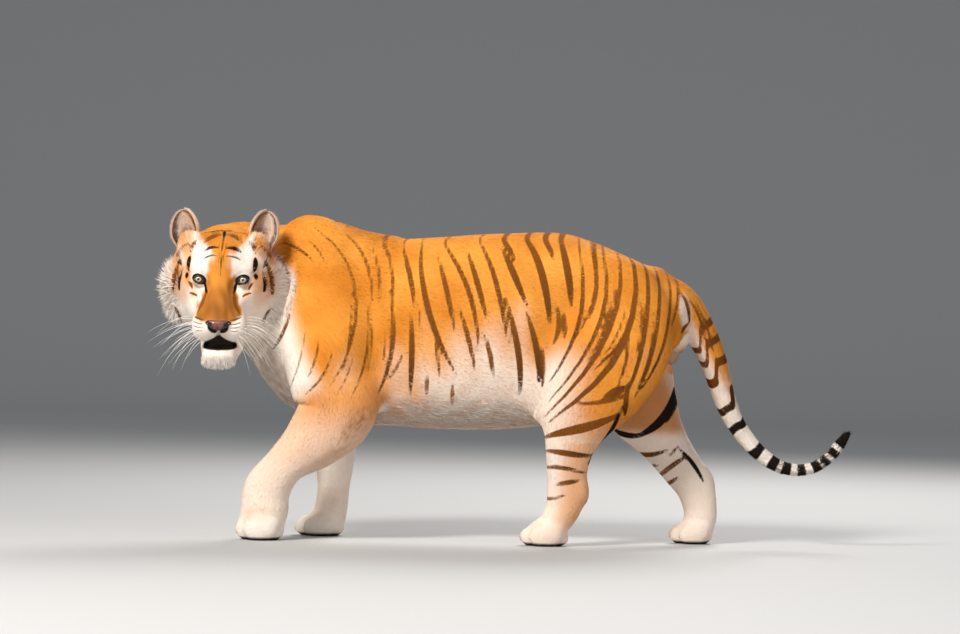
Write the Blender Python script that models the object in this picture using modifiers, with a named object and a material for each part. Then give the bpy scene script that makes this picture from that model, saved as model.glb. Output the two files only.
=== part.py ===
"""A life-size adult male tiger in a slow walk, its head turned to its left, as solids.

Metres, +Z up. The body lies along X with the head at -X and the tail at +X, and the face looks along -Y.
The flesh is first one whole: tapered lofts for the trunk, neck, legs and tail, and egg shapes for the head
and paws, fused and smoothed. Boxes and eggs then part it into the pieces that a person would name.
The origin is on the floor under the middle of the bounding box.
"""

import math

import bpy
import bmesh
import numpy as np
from mathutils import Matrix, Vector

# ---------------------------------------------------------------- driving dimensions
VOXEL = 0.0065          # grain of the fused flesh
TRIANGLES = 3600        # what the whole flesh is thinned to before it is cut
GAP = 0.0005            # clearance between neighbouring pieces
CUTTER_SIDES = 14       # facets round an egg that parts the flesh
RING_POINTS = 40        # points round a loft
SPAN_RINGS = 5          # rings between two stations of a loft
SMOOTH_BODY = 26        # smoothing passes on the body, where weight is 1
SHRINK_BACK = 0.0035    # puts back what the smoothing takes off
SOLE_DEPTH = 0.006      # how far the raw pads reach under the floor before the soles are cut flat

EYES_AT = Vector((-0.742, -0.290, 0.747))   # the point midway between the eyes
HEAD_PITCH = math.radians(30)               # the face is lowered by this
HEAD_TURN = math.radians(90)                # from looking along -X to looking along -Y
EYE_SPREAD = 0.0625                         # from the middle of the head to each eye
EYE_RADIUS = 0.018
EYE_SET_BACK = 0.0065                       # eyeball centre behind the plane of the eyes

# ---------------------------------------------------------------- body plan
# Lofts: each station is x, y, z of the core, then the half sizes over it, under it and to its sides.
# "Over" is up on the trunk, neck and tail, and the rear on a leg.
TRUNK = [
    (-0.57, 0.0, 0.665, 0.232, 0.175, 0.091),
    (-0.52, 0.0, 0.655, 0.268, 0.248, 0.132),
    (-0.45, 0.0, 0.645, 0.276, 0.290, 0.157),
    (-0.36, 0.0, 0.635, 0.262, 0.300, 0.171),
    (-0.25, 0.0, 0.630, 0.258, 0.300, 0.182),
    (-0.12, 0.0, 0.628, 0.268, 0.304, 0.191),
    (0.00, 0.0, 0.628, 0.278, 0.304, 0.193),
    (0.12, 0.0, 0.632, 0.281, 0.300, 0.187),
    (0.20, 0.0, 0.638, 0.279, 0.290, 0.178),
    (0.27, 0.0, 0.645, 0.270, 0.260, 0.169),
    (0.34, 0.0, 0.652, 0.244, 0.202, 0.160),
    (0.42, 0.0, 0.660, 0.205, 0.160, 0.149),
    (0.50, 0.0, 0.670, 0.160, 0.133, 0.129),
    (0.56, 0.0, 0.680, 0.114, 0.096, 0.091),
    (0.598, 0.0, 0.690, 0.068, 0.045, 0.050),
]
NECK = [
    (-0.742, -0.190, 0.780, 0.105, 0.100, 0.100),
    (-0.737, -0.120, 0.762, 0.163, 0.150, 0.128),
    (-0.690, -0.050, 0.738, 0.194, 0.145, 0.140),
    (-0.600, -0.010, 0.700, 0.236, 0.192, 0.150),
    (-0.480, 0.000, 0.660, 0.268, 0.276, 0.156),
    (-0.300, 0.000, 0.640, 0.250, 0.290, 0.158),
]
FORELEG_LEFT = [
    (-0.490, -0.080, 0.850, 0.055, 0.060, 0.040),
    (-0.470, -0.115, 0.740, 0.105, 0.095, 0.070),
    (-0.452, -0.142, 0.610, 0.122, 0.115, 0.078),
    (-0.432, -0.155, 0.480, 0.118, 0.122, 0.078),
    (-0.418, -0.154, 0.385, 0.128, 0.112, 0.076),
    (-0.478, -0.147, 0.292, 0.096, 0.088, 0.068),
    (-0.550, -0.138, 0.217, 0.058, 0.070, 0.060),
    (-0.604, -0.131, 0.150, 0.072, 0.072, 0.061),
    (-0.620, -0.127, 0.090, 0.078, 0.066, 0.062),
    (-0.626, -0.125, 0.040, 0.072, 0.064, 0.060),
]
FORELEG_RIGHT = [
    (-0.470, 0.085, 0.860, 0.070, 0.060, 0.045),
    (-0.460, 0.120, 0.740, 0.110, 0.105, 0.075),
    (-0.455, 0.145, 0.610, 0.120, 0.125, 0.080),
    (-0.440, 0.150, 0.480, 0.100, 0.112, 0.076),
    (-0.425, 0.145, 0.380, 0.086, 0.092, 0.070),
    (-0.424, 0.138, 0.290, 0.072, 0.074, 0.062),
    (-0.421, 0.132, 0.210, 0.058, 0.062, 0.054),
    (-0.422, 0.128, 0.140, 0.048, 0.054, 0.050),
    (-0.428, 0.125, 0.080, 0.048, 0.054, 0.052),
    (-0.438, 0.125, 0.040, 0.050, 0.056, 0.054),
]
HINDLEG_LEFT = [
    (0.430, -0.080, 0.780, 0.070, 0.080, 0.050),
    (0.420, -0.115, 0.690, 0.135, 0.125, 0.075),
    (0.398, -0.135, 0.600, 0.165, 0.150, 0.080),
    (0.345, -0.142, 0.480, 0.150, 0.142, 0.078),
    (0.292, -0.142, 0.375, 0.108, 0.106, 0.068),
    (0.268, -0.138, 0.300, 0.082, 0.076, 0.057),
    (0.262, -0.133, 0.222, 0.064, 0.062, 0.048),
    (0.264, -0.130, 0.158, 0.062, 0.062, 0.046),
    (0.254, -0.127, 0.104, 0.050, 0.056, 0.046),
    (0.226, -0.125, 0.062, 0.044, 0.048, 0.048),
    (0.196, -0.125, 0.040, 0.038, 0.040, 0.050),
]
HINDLEG_RIGHT = [
    (0.450, 0.080, 0.780, 0.070, 0.080, 0.050),
    (0.450, 0.115, 0.690, 0.110, 0.125, 0.075),
    (0.455, 0.135, 0.590, 0.118, 0.140, 0.080),
    (0.475, 0.138, 0.470, 0.112, 0.125, 0.076),
    (0.507, 0.136, 0.372, 0.100, 0.100, 0.066),
    (0.560, 0.132, 0.288, 0.078, 0.072, 0.055),
    (0.614, 0.128, 0.218, 0.066, 0.064, 0.048),
    (0.648, 0.125, 0.168, 0.064, 0.058, 0.045),
    (0.664, 0.122, 0.110, 0.056, 0.050, 0.043),
    (0.664, 0.120, 0.065, 0.052, 0.048, 0.045),
    (0.654, 0.120, 0.040, 0.042, 0.048, 0.048),
]
TAIL = [
    (0.500, 0.000, 0.760, 0.062, 0.060, 0.060),
    (0.555, 0.000, 0.728, 0.062, 0.056, 0.058),
    (0.600, 0.000, 0.690, 0.061, 0.050, 0.053),
    (0.637, 0.002, 0.638, 0.056, 0.045, 0.048),
    (0.666, 0.004, 0.590, 0.049, 0.042, 0.044),
    (0.691, 0.006, 0.540, 0.042, 0.041, 0.041),
    (0.709, 0.008, 0.483, 0.038, 0.037, 0.038),
    (0.730, 0.010, 0.423, 0.034, 0.034, 0.034),
    (0.755, 0.012, 0.372, 0.030, 0.031, 0.030),
    (0.790, 0.014, 0.322, 0.027, 0.028, 0.027),
    (0.832, 0.014, 0.278, 0.025, 0.026, 0.025),
    (0.884, 0.012, 0.243, 0.023, 0.023, 0.023),
    (0.940, 0.008, 0.230, 0.021, 0.021, 0.021),
    (0.992, 0.002, 0.240, 0.020, 0.020, 0.020),
    (1.032, -0.006, 0.268, 0.020, 0.020, 0.020),
    (1.060, -0.012, 0.302, 0.020, 0.020, 0.019),
    (1.082, -0.016, 0.335, 0.015, 0.015, 0.015),
]
LOFTS = {
    "trunk": (TRUNK, (0, 0, 1), 2.25),
    "neck": (NECK, (0, 0, 1), 2.1),
    "foreleg_left": (FORELEG_LEFT, (1, 0, 0), 2.15),
    "foreleg_right": (FORELEG_RIGHT, (1, 0, 0), 2.15),
    "hindleg_left": (HINDLEG_LEFT, (1, 0, 0), 2.15),
    "hindleg_right": (HINDLEG_RIGHT, (1, 0, 0), 2.15),
    "tail": (TAIL, (0, 0, 1), 2.0),
}

# Eggs of the body: centre, radii along X, Y, Z, and a turn about Y in degrees.
BODY_EGGS = [
    ((-0.498, -0.068, 0.855), (0.096, 0.050, 0.098), 8),     # shoulder blades
    ((-0.492, 0.068, 0.857), (0.098, 0.050, 0.098), 8),
    ((-0.552, 0.000, 0.510), (0.055, 0.115, 0.110), -20),    # breast
    ((0.330, -0.095, 0.775), (0.160, 0.062, 0.080), 15),     # hips
    ((0.330, 0.095, 0.775), (0.160, 0.062, 0.080), 15),
    ((0.545, -0.060, 0.650), (0.058, 0.055, 0.095), 20),     # buttocks
    ((0.545, 0.060, 0.650), (0.058, 0.055, 0.095), 20),
    ((0.280, -0.125, 0.400), (0.075, 0.055, 0.075), 0),      # knees
    ((0.480, 0.125, 0.385), (0.085, 0.055, 0.075), 0),
    ((-0.352, -0.145, 0.402), (0.046, 0.040, 0.060), 30),    # elbows
    ((-0.368, 0.140, 0.392), (0.045, 0.040, 0.055), 30),
    ((0.300, -0.135, 0.160), (0.026, 0.026, 0.036), -20),    # points of the hocks
    ((0.680, 0.127, 0.195), (0.024, 0.024, 0.036), -20),
    ((0.583, -0.022, 0.600), (0.032, 0.029, 0.036), 10),     # scrotum
    ((0.563, 0.018, 0.566), (0.031, 0.028, 0.036), 10),
]
# Eggs of the head in its own axes: forward, left and up from between the eyes; radii; pitch in degrees.
# A second entry on the other side is made where the middle one lies off the middle plane.
HEAD_EGGS = [
    ((-0.118, 0.000, 0.012), (0.122, 0.096, 0.086), 0),       # cranium
    ((-0.062, 0.000, 0.016), (0.078, 0.076, 0.074), 0),       # forehead
    ((-0.030, 0.060, 0.030), (0.028, 0.038, 0.018), 20),      # brows
    ((-0.062, 0.070, -0.032), (0.072, 0.056, 0.054), 0),      # cheekbones
    ((0.028, 0.000, -0.026), (0.099, 0.038, 0.039), 27),      # bridge of the nose
    ((0.020, 0.034, -0.058), (0.064, 0.036, 0.044), 26),      # upper jaw below the eyes
    ((0.040, 0.000, -0.084), (0.080, 0.071, 0.054), 20),      # muzzle
    ((0.082, 0.041, -0.103), (0.045, 0.042, 0.044), 16),      # whisker pads
    ((0.100, 0.000, -0.076), (0.034, 0.036, 0.028), 20),      # nose tip
    ((-0.060, 0.062, -0.095), (0.080, 0.058, 0.070), 0),      # jaw muscles
    ((0.055, 0.000, -0.196), (0.108, 0.058, 0.039), -22),     # lower jaw
    ((-0.026, 0.000, -0.205), (0.085, 0.064, 0.060), -20),    # throat behind the jaw
    ((0.132, 0.000, -0.177), (0.026, 0.048, 0.025), -20),     # chin
    ((0.004, 0.050, -0.128), (0.052, 0.024, 0.052), 30),      # cheeks at the corners of the mouth
    ((-0.101, 0.082, 0.041), (0.052, 0.052, 0.055), 0),       # mounds under the ears
    ((-0.092, 0.080, -0.065), (0.070, 0.084, 0.094), 0),      # cheeks in front of the ruff
    ((-0.108, 0.104, -0.096), (0.052, 0.082, 0.092), 0),      # ruff at the cheeks
    ((-0.098, 0.072, -0.136), (0.062, 0.088, 0.060), 0),      # ruff under the jaw
]
# The gap of the open mouth, in the head's axes: middle, half sizes and pitch of a thin egg.
MOUTH = ((0.114, 0.000, -0.137), (0.078, 0.053, 0.018), -30)

# Paws: heel x, y of the middle line, length, width, and height of the toes. Toes point to -X.
PAWS = {
    "forepaw_left": (-0.552, -0.125, 0.146, 0.136, 0.058),
    "forepaw_right": (-0.388, 0.125, 0.154, 0.134, 0.056),
    "hindpaw_left": (0.282, -0.125, 0.158, 0.122, 0.054),
    "hindpaw_right": (0.714, 0.120, 0.142, 0.120, 0.054),
}
TOES = 4

# Colours of the plain solids, red, green and blue.
COATS = {
    "gold": (0.72, 0.38, 0.12),
    "cream": (0.86, 0.76, 0.64),
    "nose": (0.42, 0.20, 0.17),
    "eye": (0.62, 0.60, 0.42),
}


# ---------------------------------------------------------------- helpers
def clear_scene():
    for obj in list(bpy.data.objects):
        bpy.data.objects.remove(obj)


def group(name, hidden=False):
    made = bpy.data.collections.new(name)
    bpy.context.scene.collection.children.link(made)
    made.hide_render = hidden
    return made


def material(name, colour, roughness):
    made = bpy.data.materials.new(name)
    made.use_nodes = True
    shader = made.node_tree.nodes["Principled BSDF"]
    shader.inputs["Base Color"].default_value = (*colour, 1)
    shader.inputs["Roughness"].default_value = roughness
    shader.inputs["Metallic"].default_value = 0
    return made


def object_of(name, mesh, collection):
    made = bpy.data.objects.new(name, mesh)
    collection.objects.link(made)
    return made


def evaluated(obj):
    """A new mesh of the object with its modifiers applied, in world space."""
    graph = bpy.context.evaluated_depsgraph_get()
    mesh = bpy.data.meshes.new_from_object(obj.evaluated_get(graph))
    mesh.transform(obj.matrix_world)
    return mesh


def head_matrix(pitch=HEAD_PITCH):
    """From the head's axes (forward, left, up) to the world: pitched down, turned to face -Y, set at the eyes."""
    axes = Matrix(((-1, 0, 0), (0, -1, 0), (0, 0, 1))).to_4x4()
    turn = Matrix.Rotation(HEAD_TURN, 4, "Z")
    return Matrix.Translation(EYES_AT) @ turn @ Matrix.Rotation(-pitch, 4, "Y") @ axes


def smooth_rows(rows, per_span):
    """Catmull-Rom curve through the rows, all columns alike, as an array with per_span rows to a span."""
    points = np.array(rows, float)
    points = np.vstack([2 * points[0] - points[1], points, 2 * points[-1] - points[-2]])
    t = np.linspace(0, 1, per_span, endpoint=False)[:, None]
    spans = []
    for a, b, c, d in zip(points, points[1:], points[2:], points[3:]):
        spans.append(
            0.5 * (2 * b + (c - a) * t + (2 * a - 5 * b + 4 * c - d) * t**2 + (3 * b - a - 3 * c + d) * t**3)
        )
    return np.vstack([*spans, points[-2][None]])


def loft(stations, over_side, power):
    """Closed mesh of superellipse sections across a smooth path, rounded at its two ends."""
    rows = smooth_rows(stations, SPAN_RINGS)
    core = rows[:, :3]
    along = np.gradient(core, axis=0)
    along /= np.linalg.norm(along, axis=1, keepdims=True)
    side = np.cross(np.array(over_side, float), along)
    side /= np.linalg.norm(side, axis=1, keepdims=True)
    over = np.cross(along, side)
    angle = np.linspace(0, 2 * math.pi, RING_POINTS, endpoint=False)
    across = np.sign(np.cos(angle)) * np.abs(np.cos(angle)) ** (2 / power)
    upward = np.sign(np.sin(angle)) * np.abs(np.sin(angle)) ** (2 / power)
    height = np.where(upward[None] > 0, rows[:, 3:4], rows[:, 4:5]) * upward[None]
    width = rows[:, 5:6] * across[None]
    rings = core[:, None] + width[..., None] * side[:, None] + height[..., None] * over[:, None]
    cap = 0.7 * rows[[0, -1], 5]
    tips = [core[0] - along[0] * cap[0], core[-1] + along[-1] * cap[1]]
    rounds = [
        core[end] + sign * along[end] * cap[slot] * 0.72 + (rings[end] - core[end]) * 0.70
        for slot, (end, sign) in enumerate(((0, -1), (-1, 1)))
    ]
    rings = np.concatenate([rounds[0][None], rings, rounds[1][None]])
    count = len(rings)
    mesh = bmesh.new()
    grid = [[mesh.verts.new(point) for point in ring] for ring in rings]
    for lower, upper in zip(grid, grid[1:]):
        for i in range(RING_POINTS):
            j = (i + 1) % RING_POINTS
            mesh.faces.new((lower[i], lower[j], upper[j], upper[i]))
    for tip, ring in ((tips[0], grid[0]), (tips[1], grid[count - 1])):
        end = mesh.verts.new(tip)
        for i in range(RING_POINTS):
            mesh.faces.new((end, ring[i], ring[(i + 1) % RING_POINTS]))
    bmesh.ops.recalc_face_normals(mesh, faces=mesh.faces)
    return mesh


def add_egg(mesh, matrix, radii, segments=28):
    """A UV sphere stretched to the radii, placed by the matrix, added to a bmesh."""
    size = Matrix.Diagonal((*radii, 1))
    bmesh.ops.create_uvsphere(
        mesh, u_segments=segments, v_segments=segments * 2 // 3, radius=1, matrix=matrix @ size
    )


def head_egg_matrices(entry):
    """World placements of a head egg, one on each side where it lies off the middle."""
    (forward, left, up), radii, pitch = entry
    sides = (1, -1) if left else (1,)
    for side in sides:
        place = Matrix.Translation((forward, side * left, up))
        yield head_matrix() @ place @ Matrix.Rotation(math.radians(pitch), 4, "Y"), radii


def add_paw(mesh, heel_x, middle_y, length, width, height):
    """A heel pad, a back and four toes, in a fan that points to -X, reaching just under the floor."""
    step = width / TOES
    toe_long = 0.30 * length
    for i in range(TOES):
        off = (i - (TOES - 1) / 2) / ((TOES - 1) / 2)
        reach = length - toe_long - 0.030 * off * off
        lean = Matrix.Rotation(math.radians(9 * off), 4, "Z")
        centre = (heel_x - reach, middle_y + off * 1.42 * step, height * 0.48)
        add_egg(mesh, Matrix.Translation(centre) @ lean, (toe_long, 0.56 * step, height * 0.48 + SOLE_DEPTH), 20)
        knuckle = (heel_x - reach + 0.02, middle_y + off * 1.30 * step, height * 0.70)
        add_egg(mesh, Matrix.Translation(knuckle), (0.030, 0.54 * step, height * 0.42), 16)
    back = Matrix.Translation((heel_x - 0.50 * length, middle_y, height * 0.62))
    add_egg(mesh, back, (0.36 * length, 0.43 * width, height * 0.62))
    pad = Matrix.Translation((heel_x - 0.36 * length, middle_y, 0.022))
    add_egg(mesh, pad, (0.30 * length, 0.36 * width, 0.022 + SOLE_DEPTH))


def boolean(obj, cutter, operation):
    step = obj.modifiers.new(f"{operation.lower()}_{cutter.name}", "BOOLEAN")
    step.operation = operation
    step.object = cutter
    step.solver = "EXACT"


# ---------------------------------------------------------------- the whole flesh
def fused_flesh(cutters):
    """Every loft and egg joined, remeshed to one skin, smoothed more on the body than on face and paws."""
    raw = bmesh.new()
    for stations, over_side, power in LOFTS.values():
        piece = loft(stations, over_side, power)
        data = bpy.data.meshes.new("loft")
        piece.to_mesh(data)
        raw.from_mesh(data)
    for centre, radii, turn in BODY_EGGS:
        add_egg(raw, Matrix.Translation(centre) @ Matrix.Rotation(math.radians(turn), 4, "Y"), radii)
    for entry in HEAD_EGGS:
        for matrix, radii in head_egg_matrices(entry):
            add_egg(raw, matrix, radii)
    for paw in PAWS.values():
        add_paw(raw, *paw)
    data = bpy.data.meshes.new("raw_flesh")
    raw.to_mesh(data)
    body = object_of("raw_flesh", data, cutters)
    fuse = body.modifiers.new("fuse", "REMESH")
    fuse.mode = "VOXEL"
    fuse.voxel_size = VOXEL
    whole = object_of("whole_flesh", evaluated(body), cutters)
    bpy.data.objects.remove(body)

    points = np.empty(len(whole.data.vertices) * 3)
    whole.data.vertices.foreach_get("co", points)
    points = points.reshape(-1, 3)
    head = np.linalg.norm((points - np.array(EYES_AT) - (0, 0.03, -0.02)) / (0.24, 0.20, 0.26), axis=1)
    soft = np.clip((head - 0.85) / 0.4, 0.30, 1) * np.clip((points[:, 2] - 0.05) / 0.12, 0.06, 1)
    soft = soft * np.where(points[:, 0] > 0.66, 0.25, 1)
    weights = whole.vertex_groups.new(name="soft")
    for level in range(1, 21):
        chosen = np.nonzero(np.round(soft * 20) == level)[0]
        weights.add(chosen.tolist(), level / 20, "REPLACE")
    melt = whole.modifiers.new("melt", "SMOOTH")
    melt.factor = 0.7
    melt.iterations = SMOOTH_BODY
    melt.vertex_group = "soft"
    settle = whole.modifiers.new("settle", "SMOOTH")
    settle.factor = 0.5
    settle.iterations = 2
    regain = whole.modifiers.new("regain", "DISPLACE")
    regain.mid_level = 0
    regain.strength = SHRINK_BACK
    regain.vertex_group = "soft"
    whole.modifiers.new("facets", "TRIANGULATE")
    thin = whole.modifiers.new("thin", "DECIMATE")
    thin.ratio = TRIANGLES / (2 * len(whole.data.polygons))
    return whole


def cut_soles(mesh):
    """Cuts everything under the floor away and closes the soles flat."""
    work = bmesh.new()
    work.from_mesh(mesh)
    everything = list(work.verts) + list(work.edges) + list(work.faces)
    cut = bmesh.ops.bisect_plane(
        work, geom=everything, plane_co=(0, 0, 0), plane_no=(0, 0, -1), clear_outer=True
    )
    rim = [item for item in cut["geom_cut"] if isinstance(item, bmesh.types.BMEdge)]
    bmesh.ops.holes_fill(work, edges=rim)
    bmesh.ops.triangulate(work, faces=work.faces)
    bmesh.ops.recalc_face_normals(work, faces=work.faces)
    work.to_mesh(mesh)


def largest_body(mesh):
    """Drops crumbs that a cut leaves loose, keeping the biggest connected piece."""
    work = bmesh.new()
    work.from_mesh(mesh)
    left = set(work.verts)
    islands = []
    while left:
        island = [left.pop()]
        for vert in island:
            for edge in vert.link_edges:
                other = edge.other_vert(vert)
                if other in left:
                    left.remove(other)
                    island.append(other)
        islands.append(island)
    islands.sort(key=len)
    for island in islands[:-1]:
        bmesh.ops.delete(work, geom=island, context="VERTS")
    work.to_mesh(mesh)


# ---------------------------------------------------------------- parting the flesh
# Zones take pieces off the whole in this order: name, shape, centre, half sizes, axes and pitch in degrees.
# In "head" axes the numbers run forward, left and up from between the eyes.
ZONES = [
    ("lower_jaw", "egg", (0.108, 0.000, -0.197), (0.085, 0.066, 0.046), "head", -25),
    ("head", "egg", (-0.016, 0.000, -0.040), (0.184, 0.228, 0.245), "head", 0),
    ("forepaw_left", "box", (-0.640, -0.130, 0.030), (0.150, 0.130, 0.075), "world", 0),
    ("forepaw_right", "box", (-0.480, 0.130, 0.030), (0.140, 0.130, 0.075), "world", 0),
    ("hindpaw_left", "box", (0.214, -0.130, 0.022), (0.160, 0.130, 0.070), "world", 0),
    ("hindpaw_right", "box", (0.640, 0.130, 0.022), (0.160, 0.130, 0.070), "world", 0),
    ("forearm_left", "box", (-0.560, -0.170, 0.160), (0.270, 0.150, 0.170), "world", 0),
    ("forearm_right", "box", (-0.450, 0.170, 0.160), (0.170, 0.150, 0.150), "world", 0),
    ("shank_left", "box", (0.290, -0.170, 0.160), (0.190, 0.150, 0.150), "world", 0),
    ("shank_right", "box", (0.600, 0.170, 0.160), (0.200, 0.150, 0.140), "world", 0),
    ("upper_arm_left", "egg", (-0.450, -0.210, 0.540), (0.170, 0.135, 0.290), "world", 0),
    ("upper_arm_right", "egg", (-0.450, 0.210, 0.540), (0.170, 0.135, 0.290), "world", 0),
    ("thigh_left", "egg", (0.370, -0.210, 0.520), (0.240, 0.145, 0.270), "world", 20),
    ("thigh_right", "egg", (0.460, 0.210, 0.510), (0.220, 0.145, 0.270), "world", 0),
    ("scrotum", "egg", (0.576, 0.000, 0.580), (0.050, 0.060, 0.062), "world", 0),
    ("tail_tip", "box", (1.050, 0.000, 0.300), (0.150, 0.200, 0.200), "world", 0),
    ("tail_middle", "box", (0.820, 0.000, 0.300), (0.120, 0.200, 0.200), "world", 0),
    ("tail_root", "box", (0.706, -0.060, 0.580), (0.100, 0.140, 0.180), "world", 0),
    ("neck", "box", (-0.780, 0.000, 0.700), (0.220, 0.300, 0.400), "world", 0),
]


def zone_cutter(name, zone, extra, cutters):
    """The zone's egg or box as a cutter, larger by the extra all round."""
    shape, centre, half, axes, pitch = zone
    place = Matrix.Translation(centre) @ Matrix.Rotation(math.radians(pitch), 4, "Y")
    if axes == "head":
        place = head_matrix() @ place
    half = [size + extra for size in half]
    work = bmesh.new()
    if shape == "egg":
        add_egg(work, place, half, CUTTER_SIDES)
    else:
        bmesh.ops.create_cube(work, size=2, matrix=place @ Matrix.Diagonal((*half, 1)))
    data = bpy.data.meshes.new(name)
    work.to_mesh(data)
    made = object_of(name, data, cutters)
    made.display_type = "WIRE"
    made.hide_render = True
    return made


def part_flesh(whole, cutters):
    """Takes each zone's piece off the whole, in order, and returns {name: mesh}; what is left is the trunk."""
    pieces = {}
    rest = whole
    for name, *zone in ZONES:
        inner = zone_cutter(f"zone_{name}", zone, 0, cutters)
        outer = zone_cutter(f"clear_{name}", zone, GAP, cutters)
        piece = object_of("piece", rest.data, cutters)
        boolean(piece, inner, "INTERSECT")
        pieces[name] = evaluated(piece)
        largest_body(pieces[name])
        boolean(rest, outer, "DIFFERENCE")
        left = evaluated(rest)
        largest_body(left)
        for helper in (piece, rest, inner, outer):
            bpy.data.objects.remove(helper)
        rest = object_of("rest", left, cutters)
    pieces["trunk"] = rest.data
    bpy.data.objects.remove(rest)
    return pieces


# ---------------------------------------------------------------- pieces set on the flesh
EAR_BASE = (-0.085, 0.094, 0.078)     # ahead, left and up of the eyes, level, to the middle of an ear's root
EAR_TALL, EAR_WIDE, EAR_WALL = 0.137, 0.100, 0.010
EAR_SPLAY, EAR_BACK, EAR_TURN = math.radians(16), math.radians(6), math.radians(14)


def ear_mesh(side):
    """A cupped shell: a half-round front outline, bowed back across its width, given a wall by Solidify."""
    rows, columns = 8, 7
    work = bmesh.new()
    grid = []
    for j in range(rows):
        v = j / (rows - 1)
        half = EAR_WIDE / 2 * math.sqrt(max(1 - (max(v - 0.50, 0) / 0.50) ** 2.2, 0.0)) * (0.64 + 0.36 * min(v / 0.5, 1))
        half = max(half, 0.012)
        line = []
        for i in range(columns):
            u = 2 * i / (columns - 1) - 1
            cup = 0.046 * (1 - u * u) * (1 - 0.55 * v) * (half / (EAR_WIDE / 2)) - 0.020 * (1 - v)
            line.append(work.verts.new((-cup, u * half, v * EAR_TALL)))
        grid.append(line)
    for low, high in zip(grid, grid[1:]):
        for i in range(columns - 1):
            work.faces.new((low[i], low[i + 1], high[i + 1], high[i]))
    place = (
        Matrix.Translation((EAR_BASE[0], side * EAR_BASE[1], EAR_BASE[2]))
        @ Matrix.Rotation(-side * EAR_SPLAY, 4, "X")
        @ Matrix.Rotation(-EAR_BACK, 4, "Y")
        @ Matrix.Rotation(side * EAR_TURN, 4, "Z")
    )
    work.transform(head_matrix(pitch=0) @ place)
    data = bpy.data.meshes.new("ear_sheet")
    work.to_mesh(data)
    return data


def grown_copy(mesh, amount, cutters):
    """A cutter: the mesh swollen by a small clearance."""
    made = object_of("grown", mesh.copy(), cutters)
    swell = made.modifiers.new("swell", "DISPLACE")
    swell.mid_level = 0
    swell.strength = amount
    made = object_of("grown_solid", evaluated(made), cutters)
    bpy.data.objects.remove(bpy.data.objects["grown"])
    made.hide_render = True
    return made


def make_ear(side, head, cutters):
    """The ear's shell, cut back to where it comes out of the head."""
    sheet = object_of("ear_sheet", ear_mesh(side), cutters)
    wall = sheet.modifiers.new("wall", "SOLIDIFY")
    wall.thickness = EAR_WALL
    wall.offset = 0
    wall.use_even_offset = False
    grown = grown_copy(head, GAP, cutters)
    mesh = carve(evaluated(sheet), grown.data, cutters)
    for helper in (sheet, grown):
        bpy.data.objects.remove(helper)
    return mesh


def egg_mesh(name, matrix, radii, segments=28):
    work = bmesh.new()
    add_egg(work, matrix, radii, segments)
    data = bpy.data.meshes.new(name)
    work.to_mesh(data)
    return data


def carve(mesh, cutter_mesh, cutters, operation="DIFFERENCE"):
    target = object_of("target", mesh, cutters)
    tool = object_of("tool", cutter_mesh, cutters)
    boolean(target, tool, operation)
    result = evaluated(target)
    largest_body(result)
    bpy.data.objects.remove(target)
    bpy.data.objects.remove(tool)
    return result


def eye_matrix(side):
    return head_matrix() @ Matrix.Translation((-EYE_SET_BACK, side * EYE_SPREAD, 0))


# Corners of the nose leather before it is rounded, in the head's axes, on its left half.
NOSE = [
    (0.125, 0.022, -0.057), (0.121, 0.044, -0.069), (0.142, 0.018, -0.062), (0.146, 0.009, -0.087),
    (0.128, 0.030, -0.084), (0.090, 0.030, -0.076), (0.105, 0.028, -0.103),
]


def nose_mesh(cutters):
    """A wedge, wide above and narrow below: the corners' hull, rounded by Subdivision."""
    work = bmesh.new()
    for forward, left, up in NOSE:
        for side in (1, -1):
            work.verts.new((forward, side * left, up))
    hull = bmesh.ops.convex_hull(work, input=work.verts)
    bmesh.ops.delete(work, geom=hull["geom_interior"], context="VERTS")
    work.transform(head_matrix())
    data = bpy.data.meshes.new("nose_hull")
    work.to_mesh(data)
    wedge = object_of("nose_hull", data, cutters)
    rounding = wedge.modifiers.new("rounding", "SUBSURF")
    rounding.levels = rounding.render_levels = 1
    wedge.modifiers.new("facets", "TRIANGULATE")
    mesh = evaluated(wedge)
    bpy.data.objects.remove(wedge)
    return mesh


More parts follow.
